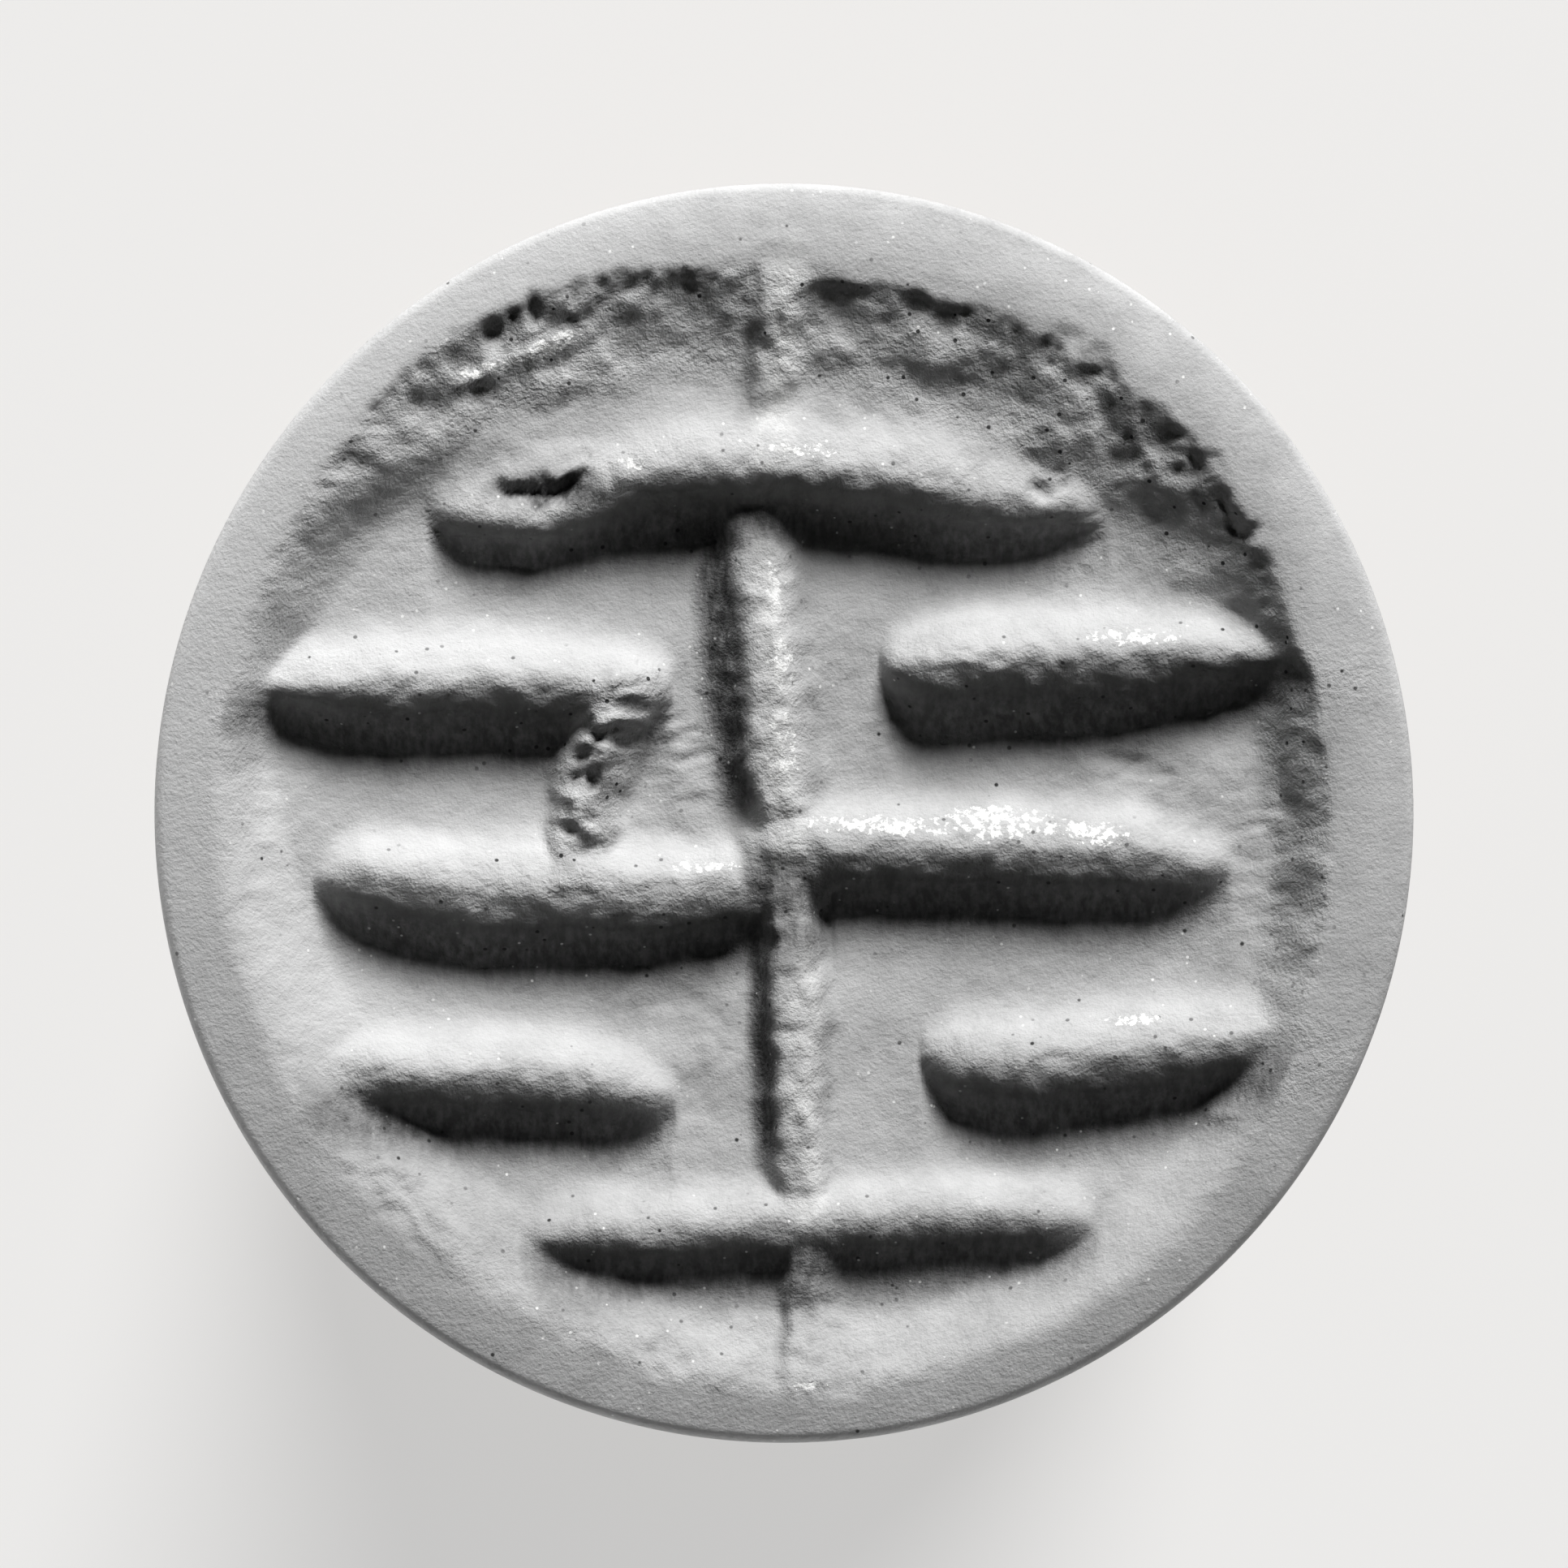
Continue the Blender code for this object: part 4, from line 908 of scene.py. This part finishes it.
def makeHandle():
    cut = handleCut
    foot, top = span("handle")
    foot = foot - cut["bed"]  # the wood beds closer to the butt than it is cut
    insertFoot = span("thread_insert")[0] - cut["insertGap"]
    boreFoot = insertFoot - cut["screwDepth"]
    outline = handleOutline(foot)
    neck, shoulder = outline[-1]
    under = roundedLine([
        (0, foot + cut["pilotTip"], 0), (cut["pilot"], foot + cut["pilotDepth"], 0.2),
        (cut["pilot"], foot, 0.2), (cut["foot"], foot, 0)], 1.0)
    upper = roundedLine([
        (neck - 0.25, shoulder, 0), (cut["tenon"], shoulder, 0.1), (cut["tenon"], top, 0.3),
        (cut["insertBore"], top, 0.2), (cut["insertBore"], insertFoot, 0.1),
        (cut["screwBore"], insertFoot, 0.1), (cut["screwBore"], boreFoot, 0.1), (0, boreFoot, 0)], 1.0)
    outline[0] = (cut["footEdge"][0], foot + cut["footEdge"][1])
    outline[-1] = (neck - cut["neckEdge"][0], shoulder - cut["neckEdge"][1])

    def dress(radius, height, angle):
        # faint tool waves, a slightly uneven round and dents on the grip, none on the tenon or in the bores
        grip = smoothStep(foot + 1, foot + 4, height) * smoothStep(shoulder - 0.5, shoulder - 3, height)
        wave = cut["toolWave"] * np.sin(height * 4.1) + cut["oval"] * np.sin(2 * angle + height * 0.1)
        knock = 0.0
        rng = np.random.default_rng(5)
        for _ in range(cut["dents"]):
            spot = rng.random() * 2 * np.pi
            level = foot + cut["dentSpan"][0] + rng.random() * cut["dentSpan"][1]
            size = 0.5 + rng.random()
            around = (np.mod(angle - spot + np.pi, 2 * np.pi) - np.pi) * cut["girth"]
            knock = knock + cut["dentDepth"] * bell(np.hypot(around, (height - level) * 0.7), 0, size)
        return radius + grip * (radius > 5) * (wave - knock)

    line = np.concatenate([under, outline, upper])
    piece = turnPiece("turned_handle", line, cut["columns"], dress, walnut, "grip", ["handle"], "walnut")
    studLow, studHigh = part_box("index_stud")
    studHalf = (studHigh.y - studLow.y) / mm / 2 + cut["studGap"]
    carve(piece, *pinCutters(*cut["pinHole"]), rodCutter("index_stud", "y", cut["studHole"], studHalf))
    x, y, z, radius = pointsOf(piece)
    hold = bell(z, foot + cut["holdSwell"], 7) + 0.7 * bell(z, foot + cut["holdFoot"], 1.2)
    patchy = 0.6 + 0.6 * layeredNoise(np.arctan2(y, x) * 3, z, 6, 3, 7)
    addMask(piece, "wearAndHighlight", np.clip(hold * patchy, 0, 1) * (radius > 7))
    grime = smoothStep(shoulder - 1.6, shoulder, z) + smoothStep(foot + 0.9, foot, z)
    addMask(piece, "grime", np.clip(grime, 0, 1))


cupCut = {"bore": 3.375, "boss": 6.8, "collar": 1.6, "flareOut": 4.8, "flareUp": 7.2, "recess": 8.2,
          "recessDepth": 3.4, "counterbore": 5.0, "seatDepth": 6.5, "scribes": (1.1, 1.7),
          "scribeDepth": 0.09, "rub": 0.03, "columns": 160}


def makeCup():
    cut = cupCut
    foot, lip = span("die_cup")
    bend = np.linspace(0, np.pi / 2, 26)
    flare = np.stack([cut["boss"] + cut["flareOut"] * (1 - np.cos(bend)),
                      foot + cut["collar"] + cut["flareUp"] * np.sin(bend)], -1)
    rim, recessFoot, seat = cut["boss"] + cut["flareOut"], lip - cut["recessDepth"], lip - cut["seatDepth"]
    start = roundedLine([(cut["bore"], foot + 0.5, 0), (cut["bore"], foot, 0.2), (cut["boss"], foot, 0.4),
                         (cut["boss"], foot + cut["collar"] - 0.3, 0)], 0.4)
    end = roundedLine([
        (rim, foot + cut["collar"] + cut["flareUp"] + 0.3, 0), (rim, lip, 0.4), (cut["recess"], lip, 0.3),
        (cut["recess"], recessFoot, 0.1), (cut["counterbore"], recessFoot, 0.2),
        (cut["counterbore"], seat, 0.1), (cut["bore"], seat, 0.15), (cut["bore"], foot + 1.0, 0)], 0.5)
    line = refineLine(np.concatenate([start, flare, end]), lip - np.mean(cut["scribes"]), 1.1, 10)

    def scribed(height, width):
        return sum(bell(height, lip - level, width) for level in cut["scribes"])

    def dress(radius, height, angle):
        # two shallow scribed lines under the lip and a few rubbed flats on it
        scribe = cut["scribeDepth"] * scribed(height, 0.12) * (radius > rim - 0.5)
        rub = cut["rub"] * smoothStep(0.35, 0.9, gradientNoise(angle * 4 / np.pi, height * 0.2, 3))
        return radius - scribe - rub * (radius > rim - 1.5)

    piece = turnPiece("flared_cup", line, cut["columns"], dress, brass, "head", ["die_cup"], "aged_brass")
    z, radius = pointsOf(piece)[2:]
    hollow = smoothStep(foot + 2.6, foot + 1.4, z) * smoothStep(foot, foot + 1.2, z)
    lines = scribed(z, 0.14) * (radius > rim - 0.6)
    inside = (radius < cut["recess"] + 0.1) * (z > recessFoot - 0.1) * 0.6
    addMask(piece, "grime", np.clip(0.45 * hollow + 0.8 * lines + inside, 0, 1))


ferruleCut = {"bore": 6.8, "outer": 7.9, "bead": 8.5, "beadHeight": 2.2, "beadSink": 0.15, "beadBend": 0.42,
              "wall": 1.5, "hole": 3.375, "groove": 1.9, "grooveDepth": 0.1, "knock": 0.04,
              "pinHole": (0.78, 2.4), "columns": 160}


def makeFerrule():
    cut = ferruleCut
    foot, top = span("ferrule")
    ceiling, groove = top - cut["wall"], top - cut["groove"]
    bend = np.linspace(-cut["beadBend"] * np.pi, cut["beadBend"] * np.pi, 14)
    root = cut["outer"] - cut["beadSink"]
    bead = np.stack([root + (cut["bead"] - root) * np.cos(bend),
                     foot + cut["beadHeight"] * (0.5 + 0.5 * np.sin(bend) / np.sin(bend[-1]))], -1)
    head = roundedLine([
        (cut["outer"], foot + cut["beadHeight"] + 0.12, 0), (cut["outer"], top, 0.5),
        (cut["hole"], top, 0.25), (cut["hole"], ceiling, 0.2), (cut["bore"], ceiling, 0.2),
        (cut["bore"], foot, 0.25), (bead[0, 0] - 0.05, foot, 0)], 0.4)
    line = refineLine(np.concatenate([bead, head]), groove, 0.7, 7.5)

    def dress(radius, height, angle):
        # one scribed groove under the top and a few knocks on the sleeve
        scribe = cut["grooveDepth"] * bell(height, groove, 0.13) * (radius > cut["outer"] - 0.4)
        knock = cut["knock"] * smoothStep(0.4, 0.9, gradientNoise(angle * 5 / np.pi, height * 0.35, 13))
        return radius - scribe - knock * (radius > cut["outer"] - 0.1)

    piece = turnPiece("pinned_ferrule", line, cut["columns"], dress, brass, "grip", ["ferrule"],
                      "aged_brass")
    carve(piece, *pinCutters(*cut["pinHole"]))
    y, z = pointsOf(piece)[1:3]
    seam = bell(z, foot + cut["beadHeight"], 0.25)
    fromPin = np.hypot(y, z - span("ferrule_pin_left")[0] - 0.7)
    grime = 0.7 * seam + 0.8 * bell(z, groove, 0.16) + 0.8 * bell(fromPin, 0.8, 0.15)
    addMask(piece, "grime", np.clip(grime, 0, 1))


pinCut = {"crown": 0.22, "rod": 0.3, "columns": 40}


def makePins():
    # a short rod with a peened, slightly domed outer end, turned on Z and then laid along X
    cut = pinCut
    for node, side in pinSides.items():
        low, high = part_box(node)
        half, radius = (high.x - low.x) / 2 / mm, (high.z - low.z) / 2 / mm
        bend = np.linspace(0, 1, 8) * np.pi / 2
        crown = np.stack([radius * np.cos(bend) ** 0.7,
                          half - cut["crown"] + cut["crown"] * np.sin(bend)], -1)
        crown[-1] = (0, half)
        rod = roundedLine([(0, -half, 0), (radius, -half, 0.1), (radius, half - cut["rod"], 0)], 0.4)
        points, faces = turnedShape(np.concatenate([rod, crown]), cut["columns"])
        laid = np.stack([points[:, 2] * side, points[:, 1] * side, -points[:, 0]], -1) + middle(node)
        putPiece(node + "_peened", laid, faces, brass, "grip", [node], "aged_brass")


washerCut = {"bore": 3.375, "outer": 6.5, "swell": 0.24, "rimStart": 5.8, "tuck": 0.05, "columns": 128}


def makeWasher():
    cut = washerCut
    foot, top = span("friction_washer")
    foot, top = foot - cut["swell"], top + cut["swell"]  # leather fills most of the gap to either face
    line = roundedLine([
        (cut["bore"] + 0.5, foot, 0), (cut["outer"], foot, 0.28), (cut["outer"], top, 0.28),
        (cut["bore"], top, 0.2), (cut["bore"], foot, 0.2), (cut["bore"] + 0.4, foot, 0)], 0.25)

    def dress(radius, height, angle):
        # a squeezed rim that bulges unevenly between the two metal faces
        bulge = 0.05 * gradientNoise(angle * 6 / np.pi, height * 0.8, 23)
        bulge = bulge + 0.03 * np.sin(np.pi * (height - foot) / (top - foot))
        return radius + (bulge - cut["tuck"]) * (radius > cut["rimStart"])

    turnPiece("leather_washer", line, cut["columns"], dress, leather, "washer", ["friction_washer"],
              "leather")


buttCut = {"outer": 9.4, "edge": 0.8, "sinkWide": 3.8, "sinkNarrow": 2.0, "sinkLip": 0.3, "sinkDepth": 2.1,
           "columns": 160}


def makeButt():
    cut = buttCut
    foot, top = span("butt_plate")
    wide, narrow = cut["sinkWide"], cut["sinkNarrow"]
    line = roundedLine([
        (wide + 0.4, foot, 0), (cut["outer"], foot, cut["edge"]), (cut["outer"], top, cut["edge"]),
        (narrow, top, 0.15), (narrow, foot + cut["sinkDepth"], 0.1), (wide, foot + cut["sinkLip"], 0.1),
        (wide, foot, 0.15), (wide + 0.3, foot, 0)], 0.35)
    piece = turnPiece("butt_cap", line, cut["columns"], None, brass, "grip", ["butt_plate"], "aged_brass")
    z, radius = pointsOf(piece)[2:]
    grime = bell(radius, wide, 0.35) + smoothStep(top - 0.5, top, z) * 0.6
    addMask(piece, "grime", np.clip(grime, 0, 1))


buttScrewCut = {"head": 3.6, "shank": 1.8, "sink": 1.8, "point": 3.7, "slot": (0.9, 0.9), "columns": 96}


def makeButtScrew():
    cut = buttScrewCut
    foot, tip = span("butt_screw")
    line = roundedLine([
        (0, foot, 0), (cut["head"], foot, 0.12), (cut["shank"], foot + cut["sink"], 0.2),
        (cut["shank"], tip - cut["point"], 0.2), (0, tip, 0)], 0.4)
    piece = turnPiece("butt_wood_screw", line, cut["columns"], None, steel, "grip", ["butt_screw"], "steel")
    carve(piece, slotCutter(cut["slot"][0], foot - 1, foot + cut["slot"][1], 5))


studCut = {"dome": 0.8, "shank": 0.6, "columns": 64}


def makeStud():
    # a low dome on a thin shank, turned on Z and then laid along Y
    cut = studCut
    low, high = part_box("index_stud")
    outer, inner, radius = high.y / mm, low.y / mm, (high.x - low.x) / 2 / mm
    bend = np.linspace(0, np.pi / 2, 14)
    base = outer - cut["dome"]
    dome = np.stack([radius * np.cos(bend), base + cut["dome"] * np.sin(bend)], -1)
    dome[-1, 0] = 0
    shank = roundedLine([(0, inner, 0), (cut["shank"], inner, 0.15), (cut["shank"], base - 0.02, 0.05),
                         (radius - 0.05, base - 0.02, 0)], 0.5)
    points, faces = turnedShape(np.concatenate([shank, dome]), cut["columns"])
    laid = np.stack([points[:, 0], points[:, 2], -points[:, 1]], -1) + middle("index_stud") * [1, 0, 1]
    putPiece("index_pip", laid, faces, brass, "grip", ["index_stud"], "aged_brass")


screwCut = {"head": 4.8, "headHeight": 2.8, "crest": 3.175, "root": 2.415, "pitch": 1.27, "chamfer": 0.7,
            "slot": (1.2, 1.2), "columns": 72, "perPitch": 12}


def makeHeadScrew():
    # threaded shank: radius between root and crest by how far the height less its share of a turn is
    # through one pitch, eased into flats at both; a plain turned head stands on it
    cut = screwCut
    tip, crown = span("head_screw")
    neck = crown - cut["headHeight"]
    shankRows = int((neck - tip) / cut["pitch"] * cut["perPitch"])
    shank = np.stack([np.full(shankRows, cut["crest"]), np.linspace(tip, neck, shankRows)], -1)
    head = roundedLine([(cut["crest"] + 0.2, neck, 0), (cut["head"], neck, 0.15), (cut["head"], crown, 0.3),
                        (0, crown, 0)], 0.4)

    def dress(radius, height, angle):
        share = np.mod(height / cut["pitch"] - angle / (2 * np.pi), 1)
        tooth = smoothStep(0.08, 0.44, np.abs(share - 0.5))
        thread = cut["root"] + (cut["crest"] - cut["root"]) * tooth
        tipCone = cut["crest"] - cut["chamfer"] + np.clip(height - tip, 0, None)
        return np.where(radius <= cut["crest"], np.minimum(thread, tipCone), radius)

    line = np.concatenate([[(0, tip)], shank, head])
    piece = turnPiece("clamp_screw", line, cut["columns"], dress, steel, "head", ["head_screw"], "steel")
    carve(piece, slotCutter(cut["slot"][0], crown - cut["slot"][1], crown + 1, 6))


for makePiece in (makeDie, makeHandle, makeCup, makeFerrule, makePins, makeWasher, makeButt, makeButtScrew,
                  makeStud, makeHeadScrew):
    makePiece()

# pieces whose CAD shape is kept get their finish alone
for node, finish in (("die_bedding", cement), ("thread_insert", brass)):
    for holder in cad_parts[node].material_slots:
        holder.material = finish
print("all pieces made")


# Stage: floor, light and camera, in metres and degrees

stageSet = {
    "floorSize": 30.0, "floorColour": (0.80, 0.79, 0.775), "floorGlow": (0.93, 0.928, 0.922),
    "glowShares": (0.6, 1.0), "glowSpan": (0.12, 0.55), "worldDim": 0.004, "horizon": 0.925, "zenith": 0.45,
    "keyDistance": 1.2, "keyElevation": 26, "keyTurn": 14, "keySize": (0.54, 0.54), "keyPower": 26.5,
    "fillDistance": 0.8, "fillTurns": (145, 215, 270), "fillHeight": 0.04, "fillSize": (0.9, 0.06),
    "fillPower": 1.6,
}


def seenDirectly(near):
    # 1 for camera, mirror and see-through rays, so that only those find the pale backdrop
    path = addNode(near, "LightPath", {}).outputs
    seen = calc("MAXIMUM", path["Is Camera Ray"], path["Is Glossy Ray"])
    return calc("MAXIMUM", seen, path["Is Transmission Ray"])


def showBoth(share, plain, backdrop, output):
    # the plain shader where the share is 0, the backdrop where it is 1
    mix = addNode(share, "MixShader", {0: share, 1: plain.outputs[0], 2: backdrop.outputs[0]})
    addNode(share, output, {"Surface": mix.outputs[0]})


def makeFloor():
    look = stageSet
    half = look["floorSize"] / 2
    corners = [(-half, -half, 0), (half, -half, 0), (half, half, 0), (-half, half, 0)]
    mesh = meshFrom("floor", corners, [(0, 1, 2, 3)])
    floor = addObject("floor", mesh)
    paint = bpy.data.materials.new("paleFloor")
    paint.use_nodes = True
    paint.node_tree.nodes.clear()
    place = paint.node_tree.nodes.new("ShaderNodeTexCoord").outputs["Object"]
    # far from the object the floor is as pale as the sky, so that no edge shows between them
    reach = addNode(place, "VectorMath", {0: place})
    reach.operation = "LENGTH"
    share = spread(reach.outputs["Value"], *look["glowSpan"], *look["glowShares"])
    lit = addNode(place, "BsdfDiffuse", {"Color": (*look["floorColour"], 1)})
    glow = addNode(place, "Emission", {"Color": (*look["floorGlow"], 1)})
    showBoth(times(seenDirectly(place), share), lit, glow, "OutputMaterial")
    mesh.materials.append(paint)


def makeWorld():
    world = bpy.data.worlds.new("studio")
    bpy.context.scene.world = world
    world.use_nodes = True
    world.node_tree.nodes.clear()
    direction = world.node_tree.nodes.new("ShaderNodeTexCoord").outputs["Generated"]
    shade = spread(axes(direction)["Z"], 0.0, 1.0, stageSet["horizon"], stageSet["zenith"])
    pale = addNode(direction, "Background", {"Color": shade})
    dim = addNode(direction, "Background", {"Color": (1, 1, 1, 1), "Strength": stageSet["worldDim"]})
    showBoth(seenDirectly(direction), dim, pale, "OutputWorld")


def addLight(name, shape, size, power, place, target):
    lamp = bpy.data.lights.new(name, "AREA")
    lamp.shape, lamp.energy = shape, power
    lamp.size, lamp.size_y = size
    holder = addObject(name, lamp)
    holder.location = place
    away = Vector(place) - Vector(target)
    holder.rotation_mode = "QUATERNION"
    holder.rotation_quaternion = away.to_track_quat("Z", "Y")
    holder.visible_camera = False


def makeLights(face):
    look = stageSet
    rise, turn = math.radians(look["keyElevation"]), math.radians(look["keyTurn"])
    toKey = (math.cos(rise) * math.sin(turn), math.cos(rise) * math.cos(turn), math.sin(rise))
    place = [c + look["keyDistance"] * d for c, d in zip((0, 0, face), toKey)]
    addLight("key", "DISK", look["keySize"], look["keyPower"], place, (0, 0, face))
    away, height = look["fillDistance"], look["fillHeight"]
    for number, degrees in enumerate(look["fillTurns"]):
        turn = math.radians(degrees)
        spot = (away * math.sin(turn), away * math.cos(turn), height)
        addLight(f"fill{number}", "RECTANGLE", look["fillSize"], look["fillPower"], spot, (0, 0, height))


# the frame's width is measured at the face's height
cameraSet = {"distance": 1.0, "frameWidth": 0.03112, "rise": 0.00058, "sensor": 36, "clip": (0.01, 60)}


def makeCamera(face):
    lens = bpy.data.cameras.new("camera")
    lens.sensor_width = cameraSet["sensor"]
    lens.lens = cameraSet["sensor"] * cameraSet["distance"] / cameraSet["frameWidth"]
    lens.clip_start, lens.clip_end = cameraSet["clip"]
    holder = addObject("camera", lens)
    holder.location = (0, cameraSet["rise"], face + cameraSet["distance"])
    bpy.context.scene.camera = holder


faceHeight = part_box("seal_die")[1].z
makeFloor()
makeWorld()
makeLights(faceHeight)
makeCamera(faceHeight)
bpy.context.scene.view_settings.view_transform = "Standard"
print("stage set")
